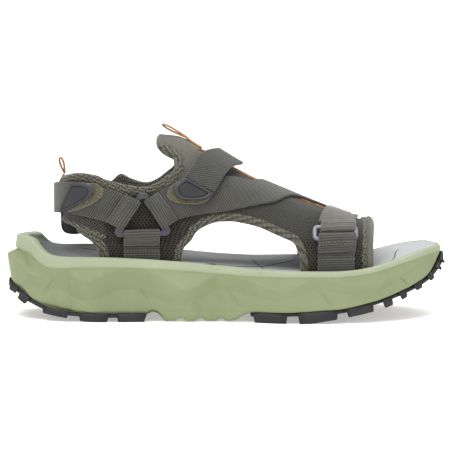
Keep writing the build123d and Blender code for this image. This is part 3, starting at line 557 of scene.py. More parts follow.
def make_midsole():
    line, normal, back = outline()
    count = len(line)
    x = line[:, 0]
    spine = spine_of(x, 108)
    high = TOP(x)
    rows, tones = [], []

    def row(place, height, tone=0.0):
        rows.append(np.concatenate([place, np.broadcast_to(height, count)[:, None]], 1))
        tones.append(np.broadcast_to(tone, count))

    def notched(at):
        base = FOAM_BOTTOM(at)
        for centre in POD_NOTCHES:
            base = base + 1.9 * np.sqrt(np.clip(1 - ((at - centre) / 3.1) ** 2, 0, 1))
        return base

    for share in (0.0, 0.3, 0.55, 0.75, 0.88, 0.95):
        place = spine + (line - spine) * share
        row(place, notched(place[:, 0]))
    low = notched(x)
    for w in np.linspace(0, 1, 64):
        z = low + (high - 1.3 - low) * w
        offset, tone = side_relief(x, z, back)
        bulge = 1.2 * 4 * w * (1 - w) - 1.4 * (1 - min(w / 0.05, 1)) ** 2
        row(line + normal * (offset + bulge - 0.6)[:, None], z, tone)
    outer = side_relief(x, high - 1.3, back)[0] - 0.6
    inner = -inner_lip(back)
    # The rim rows get tone 1: the painted highlight of the lip.
    for share, rise in ((0.02, 0.6), (0.1, 1.1), (0.25, 1.4), (0.5, 1.4), (0.75, 1.1), (0.9, 0.6), (0.99, -0.2)):
        row(line + normal * mix(outer, inner, share)[:, None], high - 1.3 + rise, 1.0)
    for drop in (3.0, 5.0):
        row(line + normal * (inner - 0.1)[:, None], high - drop)
    inside = line + normal * (inner - 0.3)[:, None]
    for share in (0.8, 0.4, 0.0):
        place = spine + (inside - spine) * share
        row(place, FLOOR(place[:, 0]) - FOOTBED - BOARD - GAP)
    grid = np.stack(rows)
    for _ in range(2):
        grid[8:68] = (grid[7:67] + 2 * grid[8:68] + grid[9:69]) / 4
    tip = ramp(grid[..., 0], 139, 150)
    base = FOAM_BOTTOM(grid[..., 0])
    grid[..., 2] = mix(grid[..., 2], base, 0.1 * tip * (grid[..., 2] > base))
    grid[..., 0] -= 0.22 * np.clip(grid[..., 0] - 138, 0, None)
    run = run_of(grid, 0)
    around = np.broadcast_to(np.cumsum(length_of(np.roll(line, -1, 0) - line)), run.shape)
    build = Build()
    build.add(grid, grid_faces(len(grid), count, True), np.stack([around, run], -1), np.stack(tones))
    keep(build, "midsole_foam", "sandal", ["midsole"], [FOAM])


def footbed_reach(x, y):
    """Half-width of the footbed on the side that a point is on."""
    cup, inside = (np.where(y < 0, *pair) for pair in (
        [SOLE[side](x) - LIP - 0.4 for side in (LATERAL, MEDIAL)],
        [foot_width(x, side) - 2 * GAP for side in (LATERAL, MEDIAL)]))
    return mix(inside, cup, ramp(np.maximum((-x - 90) / 16, (x - 102) / 12), 0, 1))


def make_footbed():
    """Insole lying in the cup, dished towards its edges, with a thin dark line pattern."""
    line, normal, back = outline()
    edge = line - normal * (inner_lip(back) + 0.25)[:, None]
    narrow = np.minimum(np.abs(edge[:, 1]), footbed_reach(edge[:, 0], edge[:, 1]))
    edge[:, 1] = np.where(np.abs(edge[:, 0]) < 112, np.sign(edge[:, 1]) * narrow, edge[:, 1])
    spine = spine_of(edge[:, 0], 105)
    far_edge = TOP(edge[:, 0]) - FLOOR(edge[:, 0]) + 0.2 + 0.105 * length_of(line - edge)
    edge_rise = mix(1.1, far_edge, ramp(edge[:, 1], -14, 6))
    rows = []

    def lay(share, lift, top):
        place = spine + (edge - spine) * share
        base = FLOOR(place[:, 0]) - (0 if top else FOOTBED - 0.1)
        rise = edge_rise * share ** 6 if top else 0
        rows.append(xyz(place[:, 0], place[:, 1], base + lift + rise))

    for share in (0, 0.5, 0.9, 0.985):
        lay(share, 0, False)
    lay(1.0, 0.6, False)
    for share, lift in ((1.0, -1.1), (0.996, -0.5), (0.985, -0.15), (0.96, 0)):
        lay(share, lift, True)
    for share in np.linspace(0.93, 0, 30):
        lay(share, 0, True)
    grid = np.stack(rows)
    build = Build()
    build.add(grid, grid_faces(len(grid), len(edge), True), grid[..., :2])
    for path in FOOTBED_LINES:
        run = run_along(np.array(path, float))
        at = np.linspace(0, run[-1], max(int(run[-1] / 1.5), 4))
        px, py = smooth_at(at, run, path).T
        width = 0.42 * np.sqrt(np.clip(np.minimum(at, run[-1] - at) / 4, 0.02, 1))
        pz = FLOOR(px) + 1.1 * np.clip(np.abs(py) / footbed_reach(px, py), 0, 1) ** 6 - 0.12
        tube(build, xyz(px, py, pz), width, 8, mat=1)
    keep(build, "footbed_insole", "sandal", ["footbed"], [FOOTBED_FOAM, DARK_LINE])


# x, y of the thin lines moulded into the footbed
FOOTBED_LINES = [
    [(-14, -31), (-4.5, -28), (2.4, -27.5), (12, -22), (23.4, -14.5), (36, 6), (50.4, 34)],
    [(16.5, 41), (17.5, 30), (20, 6), (23.4, -14.5), (26, -26)],
    [(109.4, -30), (112.5, -22), (114.3, -14.6), (116.5, 8), (118, 20), (121.4, 29.5)],
    [(-106, 27), (-98.9, 23.9), (-84.6, 12.6), (-72, 2)],
]


def parting_surface(x, y):
    """Points on the foam's underside, with normals pointing out of the sole."""
    slope = (PARTING(x + 0.2) - PARTING(x - 0.2)) / 0.4
    return xyz(x, y, PARTING(x)), unit(xyz(slope, 0, -1.0))


def sole_y(x, side, inset):
    share = np.clip((np.abs(x) - 90) / (60 - inset), 0, 1)
    reach = x + np.sign(x) * inset * share
    return side * (SOLE[side](reach) - inset * np.sqrt(1 - share ** 2))


def lug(build, near, far, left, right):
    """Rubber block with tapered sides and rounded edges."""
    go, inner = np.linspace(0, 1, 5), np.linspace(0, 1, 5)[1:-1]
    a = np.concatenate([go, 1 + 0 * inner, go[::-1], 0 * inner])
    b = np.concatenate([0 * go, inner, 1 + 0 * go, inner[::-1]])
    width = far - near

    def sides_at(x):
        return sole_y(x, LATERAL, LUG_INSET), sole_y(x, MEDIAL, LUG_INSET)

    rows = []
    for shrink, level in ((0.0, None), (0.35, 0.55), (0.7, 0.88), (1.0, 0.97), (1.6, 1.0)):
        lateral, medial = sides_at(near + width * a)
        across = np.maximum((medial - lateral) * (right - left), 2.5)
        x = near + width * (0.5 + (a - 0.5) * (1 - 2 * shrink / width))
        lateral, medial = sides_at(x)
        share = 0.5 + (b - 0.5) * (1 - 2 * shrink / across)
        point, normal = parting_surface(x, lateral + (medial - lateral) * (left + (right - left) * share))
        height = 0.2 + 0 * x if level is None else np.maximum(PARTING(x) - TREAD(x), 4.6) * level
        rows.append(point + normal * height[:, None])
    grid = np.stack(rows)
    ring = grid.shape[1]
    last = (len(grid) - 1) * ring
    top = last + ring
    faces = grid_faces(len(grid), ring, True)
    for k in range(ring):
        faces += [[top, last + k, last + (k + 1) % ring], [top + 1, (k + 1) % ring, k]]
    verts = np.concatenate([grid.reshape(-1, 3), [grid[-1].mean(0), grid[0].mean(0)]])
    build.add(verts, faces, verts[:, :2])


def make_outsole(name, node, span, rows):
    """Rubber plate under the foam with its lugs: near and far x and the number of lugs in each row."""
    build = Build()
    x = np.concatenate([[span[0]], np.arange(span[0] + 0.3, span[1] - 0.3, 1.2), [span[1]]])
    lateral, medial = sole_y(x, LATERAL, 0.7), sole_y(x, MEDIAL, 0.7)
    y = lateral[:, None] + (medial - lateral)[:, None] * np.linspace(0, 1, 25)
    skin(build, parting_surface(x[:, None] + 0 * y, y), (-0.3, RUBBER), 0.7)
    for near, far, count in rows:
        gap = 0.0275 if count > 2 else 0.015
        for k in range(count):
            left = k / count + (gap if k else 0.0)
            right = (k + 1) / count - (gap if k < count - 1 else 0.0)
            lug(build, near, far, left, right)
    # the ends are drawn in with the foam's tip
    for verts in build.verts:
        past = np.clip(np.abs(verts[:, 0]) - 147.5, 0, None)
        verts[:, 0] -= np.sign(verts[:, 0]) * past * ramp(past, 0, 4) * 0.55
    keep(build, name, "sandal", [node], [RUBBER_BLACK])


LUG_INSET = 0.1
HEEL_LUGS = [(-73.8, -54.3, 3), (-99.3, -79.6, 3), (-123.5, -106.3, 3), (-139.6, -132.8, 2), (-147.2, -141.4, 1)]
TOE_LUGS = [(17.7, 40.8, 4), (47.9, 74.5, 4), (80.1, 98.3, 4), (104.3, 111.3, 4), (115.9, 121.4, 3),
            (126.5, 132.0, 3), (136.0, 139.6, 2), (142.0, 144.0, 2), (145.6, 146.9, 1)]


# ---- upper: panels and edges ----

COLLAR_LATERAL = [(-82.4, 96.3), (-74, 94.1), (-65.4, 92), (-55.5, 91), (-47, 93.7), (-42, 97.3), (-38.5, 100)]
COLLAR_MEDIAL = [(-82.4, 88.5), (-73, 94.5), (-65.4, 91.2), (-55.5, 89), (-47, 92.5), (-42, 96.5), (-38.5, 99.5)]
COLLAR_BACK = [(-40, 98.2), (-28, 99.6), (-14, 97.6), (0, 95.5), (14, 93), (28, 90.5), (40, 88.6)]
COLLAR_WIDTH = 8.0
ARCH = [(-32.7, 36), (-29.5, 48.6), (-24, 55), (-21, 60), (-13.7, 65), (-5, 67.7), (2.7, 68), (12.6, 66.7),
        (22.4, 64.4), (29, 61.8), (36.7, 58.5), (46, 53.8), (47.7, 49.8), (49.7, 44.6), (50.7, 31.5)]
HEEL_SEAM = ([(-101, 60.4), (-96, 57.6), (-90.5, 54.0), (-86.6, 49.4), (-85.2, 44.6), (-85, 37)],
             [(-99, 66.2), (-92.5, 63.0), (-85.5, 57.4), (-80.2, 50.5), (-78.4, 44.6), (-78.2, 37)])
SIDE_NAME = {LATERAL: "lateral", MEDIAL: "medial"}


def shifted(line, width):
    """Line of x, z points moved square to itself."""
    line = np.array(line, float)
    ahead = unit(np.gradient(line, axis=0))
    return [tuple(p) for p in line + np.stack([-ahead[:, 1], ahead[:, 0]], -1) * width]


def rung_grid(rungs, place, along, across):
    """Grid of surface points through rungs given as lines of surface coordinates."""
    lines = np.stack([resample(rung, place, across) for rung in rungs])
    at = np.linspace(0, 1, len(rungs))
    spots = np.stack([smooth_at(along, at, lines[:, j]) for j in range(len(across))], 1)
    return on_foot(place, spots[..., 0], spots[..., 1])


def make_heel_band():
    low = [(-46, 56.5), (-34, 61.5), (-16, 66), (0, 66), (16, 66), (34, 61.5), (46, 56.5)]
    high = [(u, float(Curve(COLLAR_BACK)(u)) - COLLAR_WIDTH + 2.5) for u in (-46, -28, -14, 0, 14, 28, 46)]
    build = Build()
    grid = band(low, high, heel, spaced(150, 1, 2.2), spaced(26, 1, 2.0))
    skin(build, grid, (0.0, 2.8), 1.0, 0.3)
    edge = band([(u, z - 2.0) for u, z in low], [(u, z + 2.4) for u, z in low], heel,
                spaced(150, 1.5, 2.0), spaced(4.4, 2.0, 0.4))
    skin(build, edge, (-0.2, 3.5), 2.0, 0.4, mat=1)
    keep(build, "heel_mesh_band", "sandal", ["heel_band"], [KNIT, BINDING_KNIT])


def make_heel_seam(side):
    outer, inner = ([(side * (HEEL_ARC + x - HEEL_AXIS), z) for x, z in line] for line in HEEL_SEAM)
    panel(f"{SIDE_NAME[side]}_heel_edge", f"{SIDE_NAME[side]}_heel_seam",
          band(outer, inner, heel, spaced(24, 1, 1.0), spaced(6.6, 2.4, 0.5)), (-0.1, 3.3), 2.4, 0.3,
          BINDING_KNIT)


def make_quarter(side):
    base = float(FLOOR(-50)) - TUCK
    rear_top, mid_top = (89.3, 86.3) if side == LATERAL else (79.5, 83.0)
    rungs = [
        [(-82, base), (-83, 50), (-86.5, 58), (-87.5, 62), (-87.5, 72), (-87, rear_top)],
        [(-70, base), (-70, 50), (-70, 60), (-71, 72), (-73, mid_top)],
        [(-57, base), (-57, 50), (-57, 60), (-57, 70), (-57, 82.0)],
        [(-46, base), (-45, 50), (-43.5, 60), (-44, 72), (-45.5, 84.0)],
        [(-41, base), (-39, 50), (-34, 60), (-34, 76), (-36.8, 91.5)],
        [(-35.6, base), (-32.6, 50.0), (-25.2, 57.6), (-18, 67.5), (-16, 80), (-17, 98.5)],
    ]
    rungs = [heel_points(rung, side) for rung in rungs]
    panel(f"{SIDE_NAME[side]}_quarter_mesh", f"{SIDE_NAME[side]}_quarter",
          rung_grid(rungs, heel, spaced(65, 1, 1.8), spaced(50, 1, 1.8)), (0.1, 2.6), 1.0, 0.0, AIR_MESH)


def collar_line():
    lateral = heel_points(COLLAR_LATERAL, LATERAL, BINDING_TOP)
    medial = heel_points(COLLAR_MEDIAL, MEDIAL, BINDING_TOP)
    return lateral[::-1] + COLLAR_BACK + medial


def make_collar():
    """Padded collar: a full roll on top and a flatter band below it, pressed in along two channels and sewn along
    one.
    """
    high = collar_line()
    low = [(u, z - COLLAR_WIDTH) for u, z in high]
    grid = band(low, high, heel, spaced(210, 2, 1.4), spaced(8, 2.2, 0.4))

    def channels(along, across):
        return (-0.7 * dip(across, 2.2, 0.45) - 0.4 * dip(across, 5.0, 0.4)
                + 0.12 * np.cos(2 * np.pi * along / 2.6) * dip(across, 3.6, 0.9))

    build = Build()
    skin(build, grid, (-0.4, 3.4), 2.2, 0.6, relief=channels)
    column = int(np.argmin(np.abs(run_of(grid[0], 1)[5] - 2.2)))
    stitch_column(build, grid, column, 3, 3.1, 2.3, 1.5, 0.28)
    keep(build, "collar_padding", "sandal", ["collar_binding"], [BINDING_KNIT, THREAD])


def make_throat_edge(side):
    """Padded edge that carries the collar up to the tongue's tip."""
    rear = side_points([(-44.6, 94.6), (-40.0, 98.0), (-36.0, 102), (-33.9, 105.5), (-35.2, 108.8), (-39.5, 111.5),
                        (-43.8, 114.0), (-46.8, 117.4)], side, 3.0)
    front = side_points([(-41.0, 87.6), (-34.6, 92.4), (-29.4, 99), (-27.2, 105), (-28.5, 109.4), (-33.2, 114.3),
                         (-38.5, 117.6), (-42, 119.6)], side, 3.0)
    build = Build()
    grid = band(rear, front, crown, spaced(30, 2, 0.8), spaced(8, 2.4, 0.5))
    skin(build, grid, (-0.6, 3.3), 2.4, 0.5)
    for share in (0.62, 0.82):
        stitch_column(build, grid, int(grid[0].shape[1] * share), 2, 3.5, 2.0, 1.3, 0.3)
    keep(build, f"{SIDE_NAME[side]}_throat_edge", "sandal", [], [BINDING_KNIT, THREAD])


def make_facing(side):
    """Smooth laminated cloth between the tongue and the instep strap."""
    upper = [(-38, side * 0.045), (-24, side * 0.045), (-8, side * 0.045)]
    lower = side_points([(-34.5, 94.5), (-24, 88), (-8, 80)], side, 2.0)
    panel(f"{SIDE_NAME[side]}_throat_facing", None,
          band(upper, lower, crown, spaced(32, 0.8, 1.6), spaced(30, 0.8, 1.4)), (2.0, 3.0), 0.8, 0.15,
          SMOOTH_CLOTH)


def make_vamp():
    low = Curve([(-20.5, 67.5), (-18.5, 67.5), (-13, 69.6), (-8, 71), (-2, 71.8), (4, 71.8), (11, 71), (18, 68.6),
                 (25, 65.8), (32, 62.6), (39, 59.2), (46, 56), (53, 53.8), (60, 53.6), (69, 53), (78, 52),
                 (85, 50), (94, 48)])
    x = np.linspace(-20.5, 94, 70)
    lateral, medial = girth_at(x, low(x), LATERAL), girth_at(x, low(x), MEDIAL)
    girth = lateral[:, None] + (medial - lateral)[:, None] * spaced(90, 1, 2.0)
    panel("vamp_mesh", "vamp_panel", on_foot(crown, x[:, None] + 0 * girth, girth), (0.1, 2.6), 1.0, 0.0,
          FINE_MESH)


def make_tongue():
    rungs = []
    for x, low in ((-48, 117.5), (-44, 112), (-38, 108.5), (-30, 104.5), (-19.2, 100)):
        reach = [float(girth_at(x, low, side)) for side in (LATERAL, MEDIAL)]
        rungs.append([(x, mix(reach[0], reach[1], k / 8)) for k in range(9)])
    panel("tongue_pad", "tongue", rung_grid(rungs, crown, spaced(32, 2.6, 0.9), spaced(36, 2.6, 1.2)),
          (-1.2, 2.7), 2.6, 0.8, SMOOTH_CLOTH)


def make_forefoot_panel(side):
    base = float(FLOOR(70)) - TUCK
    rungs = []
    for x, foot, top in ((51.5, 52.5, 54), (64, 64, 58), (74, 74, 57), (83, 83, 55), (93.5, 93.5, 52)):
        rungs.append(side_points([(foot, base), (foot, 42), (x - 0.5, 50), (x, top)], side))
    panel(f"{SIDE_NAME[side]}_forefoot_mesh", f"{SIDE_NAME[side]}_forefoot_panel",
          rung_grid(rungs, crown, spaced(40, 1, 1.6), spaced(24, 1, 1.6)), (0.0, 2.5), 1.0, 0.0, AIR_MESH)


def make_toe_edge():
    """Rolled toe opening: a sewn band with a smooth roll in front of it."""
    base = float(FLOOR(95)) - TUCK
    build = Build()
    parts = ((90.2, 3.4, (0.0, 3.6), 0.9, 0), (93.2, 4.8, (-0.3, 4.6), 2.2, 1))
    for start, width, layer, edge, mat in parts:
        lines = []
        for x in (start, start + width):
            rear = [(x, base), (x + 0.3, 46), (x + 1.1, 54)]
            middle = [(x + 2.3, -0.4), (x + 2.8, 0), (x + 2.3, 0.4)]
            lines.append(side_points(rear, LATERAL) + middle + side_points(rear, MEDIAL)[::-1])
        grid = band(lines[0], lines[1], crown, spaced(130, 1, 1.2), spaced(width, edge, 0.4))
        skin(build, grid, layer, edge, 0.3, mat=mat)
        if mat == 0:
            for shift in (-0.7, 0.7):
                stitch_column(build, grid, grid[0].shape[1] // 2, 3, 3.8, 1.9, 1.2, 0.26, shift=shift, mat=2)
    keep(build, "toe_opening_edge", "sandal", ["toe_binding"], [BINDING_KNIT, SMOOTH_CLOTH, THREAD])


def make_arch_edge(side):
    build = Build()
    inner, outer = (side_points(shifted(ARCH, width), side, 3.4) for width in (-0.6, 5.2))
    grid = band(inner, outer, crown, spaced(125, 1.5, 1.1), spaced(5.8, 2.0, 0.4))
    skin(build, grid, (-0.3, 3.1), 2.0, 0.4, relief=lambda along, across: -0.5 * dip(across, 3.6, 0.4))
    keep(build, f"{SIDE_NAME[side]}_arch_edge", "sandal", [f"{SIDE_NAME[side]}_arch_binding"],
         [BINDING_KNIT])


# ---- rings ----

TRI_TOP, TRI_REAR, TRI_FRONT, TRI_CENTRE = (-56.2, 88.5), (-76.5, 58.6), (-37.0, 59.2), (-56.7, 68.5)
TOE_RING_CENTRE = (73.2, 60.6)
TOE_RING = (28.0, 7.2)


def ring_plane(centre, side):
    x, z = under(centre[0], centre[1], side, RING_LEVEL)
    point, normal = on_foot(crown, x, girth_at(x, z, side))
    return point + normal * RING_LEVEL, normal


def in_plane(centre, side, corner):
    origin, normal = ring_plane(centre, side)
    y = origin[1] - ((corner[0] - origin[0]) * normal[0] + (corner[1] - origin[2]) * normal[2]) / normal[1]
    return np.array([corner[0], y, corner[1]])


def toe_corners():
    x, z = TOE_RING_CENTRE
    return [(x + a * TOE_RING[0] / 2, z + b * TOE_RING[1] / 2) for a, b in ((-1, -1), (1, -1), (1, 1), (-1, 1))]


def rounded_outline(corners, radii, grow):
    """Closed outline with rounded corners, grown outwards, in the ring's own two axes."""
    corners = np.array(corners, float)
    points = []
    for k, radius in enumerate(radii):
        here = corners[k]
        back, ahead = unit(corners[k - 1] - here), unit(corners[(k + 1) % len(corners)] - here)
        half = math.acos(np.clip(back @ ahead, -1, 1)) / 2
        middle = unit(back + ahead)
        radius = radius + grow
        centre = here + middle * (radius - grow) / math.sin(half)
        square = np.array([-middle[1], middle[0]])
        if square @ back < 0:
            square = -square
        for t in np.linspace(half - math.pi / 2, math.pi / 2 - half, 11):
            points.append(centre - middle * radius * math.cos(t) - square * radius * math.sin(t))
    return np.array(points)[::-1]


def frame_ring(name, node, material, corners, centre, side, outer_radii, inner_radii, thickness):
    """Moulded ring with a rounded section, filled out towards its corners."""
    origin, normal = ring_plane(centre, side)
    forward = unit(np.array([1.0, 0, 0]) - normal * normal[0])
    up = np.cross(normal, forward)
    if up[2] < 0:
        up = -up
    spots = [in_plane(centre, side, corner) - origin for corner in corners]
    flat = [(spot @ forward, spot @ up) for spot in spots]
    outer = rounded_outline(flat, outer_radii, RING_HALF)
    inner = rounded_outline(flat, inner_radii, -RING_HALF)
    rows = []
    for degrees in range(0, 360, 20):
        angle = math.radians(degrees)
        line = inner + (outer - inner) * (0.5 + 0.5 * bent(math.cos(angle), 0.5))
        rise = thickness * bent(math.sin(angle), 0.5)
        rows.append(origin + line[:, :1] * forward + line[:, 1:] * up + normal * rise)
    grid = np.stack(rows + rows[:1])
    build = Build()
    build.add(grid, grid_faces(len(grid), grid.shape[1], True), np.stack([run_of(grid, 1), run_of(grid, 0)], -1))
    keep(build, name, "sandal", [node], [material])


def make_tri_ring(side):
    frame_ring(f"{SIDE_NAME[side]}_triangle_ring", f"{SIDE_NAME[side]}_tri_ring", RING_PLASTIC,
               (TRI_REAR, TRI_FRONT, TRI_TOP), TRI_CENTRE, side, (2.6, 2.6, 3.4), (5.5, 5.5, 5.5), 1.35)


def make_toe_ring():
    frame_ring("toe_slot_ring", "toe_ring", TOE_RING_PLASTIC, toe_corners(), TOE_RING_CENTRE, LATERAL,
               (2.4,) * 4, (1.9,) * 4, 1.3)


# ---- webbing ----

LONG = 400.0               # an end that runs on as far as its surface
EASE = 9.0                 # length over which a strap comes down from its bar
LEAD = 12.0                # start of the path, before the surface begins
SEWING = (1.9, 1.3, 0.24)  # pitch, length and radius of the stitches


def tri_bar(side, first, second):
    return in_plane(TRI_CENTRE, side, first), in_plane(TRI_CENTRE, side, second)


def folded(edge_a, edge_b, place, bar, high, low_end, high_end, samples=140, width=24.0):
    """Webbing folded round a bar: its mesh, middle surface, normals and distance from the bar."""
    points, normals = band(edge_a, edge_b, place, np.linspace(0, 1, samples), spaced(width, 0.6, 1.2))
    radius = LOOP + THICK / 2
    low_mid, high_mid = sum(WEB) / 2, sum(high) / 2
    a, along_bar = bar[0], unit(bar[1] - bar[0])
    columns = []
    for j in range(points.shape[1]):
        path, normal = points[:, j], normals[:, j]
        path = np.concatenate([[path[0] - unit(path[1] - path[0]) * LEAD], path])
        normal = np.concatenate([normal[:1], normal])
        run = run_along(path) - LEAD
        s = np.arange(0, 40, 0.1)
        p, n = read_at(s, run, path), read_at(s, run, normal)
        target = p + n * RING_LEVEL
        foot = a + along_bar * ((target - a) @ along_bar)[:, None]
        best = int(np.argmin(length_of(target - foot)))
        start, height = s[best], float((foot[best] - p[best]) @ n[best])
        low_run, high_run = (np.linspace(0, min(end, run[-1] - start), max(int(min(end, 130) / 0.45), 8))
                             for end in (low_end, high_end))
        low_run, high_run = low_run[::-1], high_run[1:]
        angle = np.radians(np.linspace(-90, -270, 15))[1:-1]
        line_s = np.concatenate([start + low_run, start + radius * np.cos(angle), start + high_run])
        line_h = np.concatenate([mix(height - radius, low_mid, ramp(low_run, 0, EASE)),
                                 height + radius * np.sin(angle),
                                 mix(height + radius, high_mid, ramp(high_run, 0, EASE))])
        turn = unit(np.gradient(np.stack([line_s, line_h], -1), axis=0))
        n = unit(read_at(line_s, run, normal))
        ahead = unit(read_at(line_s + 0.3, run, path) - read_at(line_s - 0.3, run, path))
        columns.append((read_at(line_s, run, path) + n * line_h[:, None], n * turn[:, :1] - ahead * turn[:, 1:]))
    middle, outward = (np.stack([column[k] for column in columns], 1) for k in (0, 1))
    share, along, over = rounding(middle, 0.6)
    fold = len(low_run) + 6
    from_bar = along - along[fold:fold + 1]
    swell = outward * ((THICK / 2 + RIB * np.cos(2 * np.pi * from_bar / RIB_PITCH)) * share)[..., None]
    build = Build()
    closed_skin(build, middle, swell, -swell, np.stack([from_bar, over], -1))
    return build, middle, outward, from_bar


def sew(cloth, *distances, face=1):
    """Rows of stitches across folded webbing, at distances from its bar."""
    build, middle, outward, from_bar = cloth
    count = middle.shape[1]
    columns = np.arange(int(count * 0.06), min(int(count * 0.94) + 1, count))
    for distance in distances:
        rows = [int(np.argmin(np.abs(from_bar[:, c] - distance))) for c in columns]
        normal = outward[rows, columns] * face
        stitch_line(build, middle[rows, columns] + normal * (THICK / 2 + 0.1), normal, *SEWING)


def finish_strap(cloth, name, nodes, body="sandal", material=None):
    return keep(cloth[0], name, body, nodes, [material or WEBBING, THREAD])


def make_anchor(side):
    base = float(FLOOR(-57)) - TUCK
    rear = heel_points([(-69.3, 65), (-69.5, 50), (-69.5, base)], side)
    front = heel_points([(-45.5, 65), (-45.5, 50), (-45.5, base)], side)
    cloth = folded(rear, front, heel, tri_bar(side, TRI_REAR, TRI_FRONT), DOUBLED, LONG, 7.0)
    sew(cloth, 7.6)
    sew(cloth, -15.0, -17.5, face=-1)
    build, middle, outward, from_bar = cloth
    for share in (0.1, 0.9):
        column = int(middle.shape[1] * share)
        rows = np.where((from_bar[:, column] > -27) & (from_bar[:, column] < -15))[0]
        normal = -outward[rows, column]
        stitch_line(build, middle[rows, column] + normal * (THICK / 2 + 0.1), normal, *SEWING)
    finish_strap(cloth, f"{SIDE_NAME[side]}_anchor_webbing", [f"{SIDE_NAME[side]}_anchor_strap"])


def make_heel_side_strap():
    upper = heel_points([(-53.5, 77.8), (-66, 84.6), (-80, 89.5)], LATERAL, WEB[1])
    upper += [(-30, 91.2), (-14, 92.8), (-2, 93)]
    lower = heel_points([(-62.5, 56.6), (-76.4, 65.3), (-80, 67)], LATERAL, WEB[1])
    lower += [(-30, 71.2), (-14, 72.6), (-2, 72.8)]
    cloth = folded(upper, lower, heel, tri_bar(LATERAL, TRI_REAR, TRI_TOP), DOUBLED, LONG, 9.0)
    sew(cloth, 10.4, 8.6)
    finish_strap(cloth, "lateral_heel_webbing", ["lateral_heel_strap"])


def make_cross_strap():
    base = float(FLOOR(70)) - TUCK
    upper = side_points([(-60, 77.5), (-51.5, 84), (-38, 91.5), (-24, 95.8), (-10, 97), (5, 96.8)], LATERAL,
                        WEB[1])
    upper += [(15.5, -0.12), (23.5, 0), (34.5, 0.14), (42.5, 0.3), (49.5, 0.48)]
    upper += side_points([(56, 50), (57, 42), (57, base)], MEDIAL)
    lower = side_points([(-50.5, 57), (-42, 62.8), (-29.5, 69.7), (-11.7, 72.9), (-0.5, 74.3), (12.6, 77),
                         (31.9, 80.5)], LATERAL, WEB[1])
    lower += [(46, -0.1), (57.5, 0), (65, 0.14), (71.5, 0.3), (77, 0.48)]
    lower += side_points([(81, 50), (81.5, 42), (81.5, base)], MEDIAL)
    cloth = folded(upper, lower, crown, tri_bar(LATERAL, TRI_FRONT, TRI_TOP), DOUBLED, LONG, 9.0, 200)
    sew(cloth, 9.4)
    finish_strap(cloth, "cross_webbing", ["cross_strap"])


def make_instep_strap():
    """Strap from the inner ring over the ridge to the moulded tab."""
    rear = side_points([(-57.4, 80.3), (-53.2, 83), (-44.8, 88.8), (-28.8, 97)], MEDIAL, TOP_WEB[1])
    rear += [(-19.5, 0.1), (-9.8, 0.012), (-9.8, -0.012), (-19.5, -0.1)]
    rear += side_points([(-28.2, 97.6)], LATERAL, TOP_WEB[1])
    front = side_points([(-45.2, 61.5), (-41, 64.2), (-32.6, 69.9), (-9.3, 86)], MEDIAL, TOP_WEB[1])
    front += [(-0.5, 0.13), (7.2, 0.012), (7.2, -0.012), (-0.5, -0.13)]
    front += side_points([(-8.2, 86.9)], LATERAL, TOP_WEB[1])
    cloth = folded(rear, front, crown, tri_bar(MEDIAL, TRI_FRONT, TRI_TOP), TOP_WEB, 12.0, LONG)
    sew(cloth, 10.0)
    obj = finish_strap(cloth, "instep_webbing", ["instep_strap", "instep_strap_end"], None)
    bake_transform(obj)


def patch(name, body, node, material, outline, place, layer, edge, dish=None, fuzz=0.0):
    """A piece filled towards its middle from an outline in surface coordinates."""
    outline = np.array(outline, float)
    ring = np.concatenate([outline, outline[:1]])
    run = run_along(place(ring[:, 0], ring[:, 1]))
    line = smoothed(read_at(np.arange(96) * run[-1] / 96, run, ring), 5)
    centre = line.mean(0)
    reach = float(np.mean(length_of(place(line[:, 0], line[:, 1]) - place(centre[0], centre[1]))))
    inset = np.concatenate([edge * np.array(EDGE_STEPS), np.linspace(edge + 0.35, reach * 0.97, 26)])
    spot = centre + (line - centre)[None] * (1 - inset / reach)[:, None, None]
    points, normals = on_foot(place, spot[..., 0], spot[..., 1])
    half = (layer[1] - layer[0]) / 2 * np.sqrt(1 - np.clip(1 - inset / edge, 0, 1) ** 2)
    rows, columns = points.shape[:2]
    rise = np.broadcast_to((half + dish(inset) if dish else half)[:, None], (rows, columns)).copy()
    if fuzz:
        rise[3:] += np.random.default_rng(7).normal(0, fuzz, rise[3:].shape)
    middle = points + normals * (sum(layer) / 2)
    top = middle + normals * rise[..., None]
    bottom = middle - normals * half[:, None, None]
    verts = np.concatenate([top.reshape(-1, 3), bottom[1:].reshape(-1, 3), [top[-1].mean(0), bottom[-1].mean(0)]])
    faces = grid_faces(rows, columns, True)
    shift = (rows - 1) * columns
    faces += [[v if v < columns else v + shift for v in face][::-1] for face in faces]
    tip = len(verts) - 2
    for k in range(columns):
        here, after = shift + k, shift + (k + 1) % columns
        faces += [[here, tip, after], [after + shift, tip + 1, here + shift]]
    tone, uv = np.zeros(len(verts)), np.zeros((len(verts), 2))
    tone[:rows * columns] = np.repeat(inset, columns)
    uv[:rows * columns] = middle.reshape(-1, 3) @ np.array([[1, 0], [0, 0.3], [0, 1]])
    build = Build()
    build.add(verts, faces, uv, tone)
    keep(build, name, body, [node], [material])


def tab_dish(rim):
    """Recessed middle of a moulded tab with a groove round it."""
    def dish(inset):
        return (-0.75 * ramp(inset, rim, rim + 0.5) - 0.5 * dip(inset, rim + 0.5, 0.3)
                + 0.25 * dip(inset, rim * 0.55, 0.8))
    return dish


def make_instep_tab():
    outline = side_points([(-28.6, 97.8), (-34.2, 93.0), (-36.0, 90.6), (-35.4, 87.2), (-33, 84.2), (-28.6, 82.4),
                           (-19, 82.2), (-12.2, 83.4), (-7.9, 86.6), (-18, 92.0)], LATERAL, TAB_TOP)
    patch("instep_moulded_tab", "instep_flap", "instep_tab", SOFT_PLASTIC, outline, crown,
          (7.7, 10.3), 1.0, tab_dish(2.4))


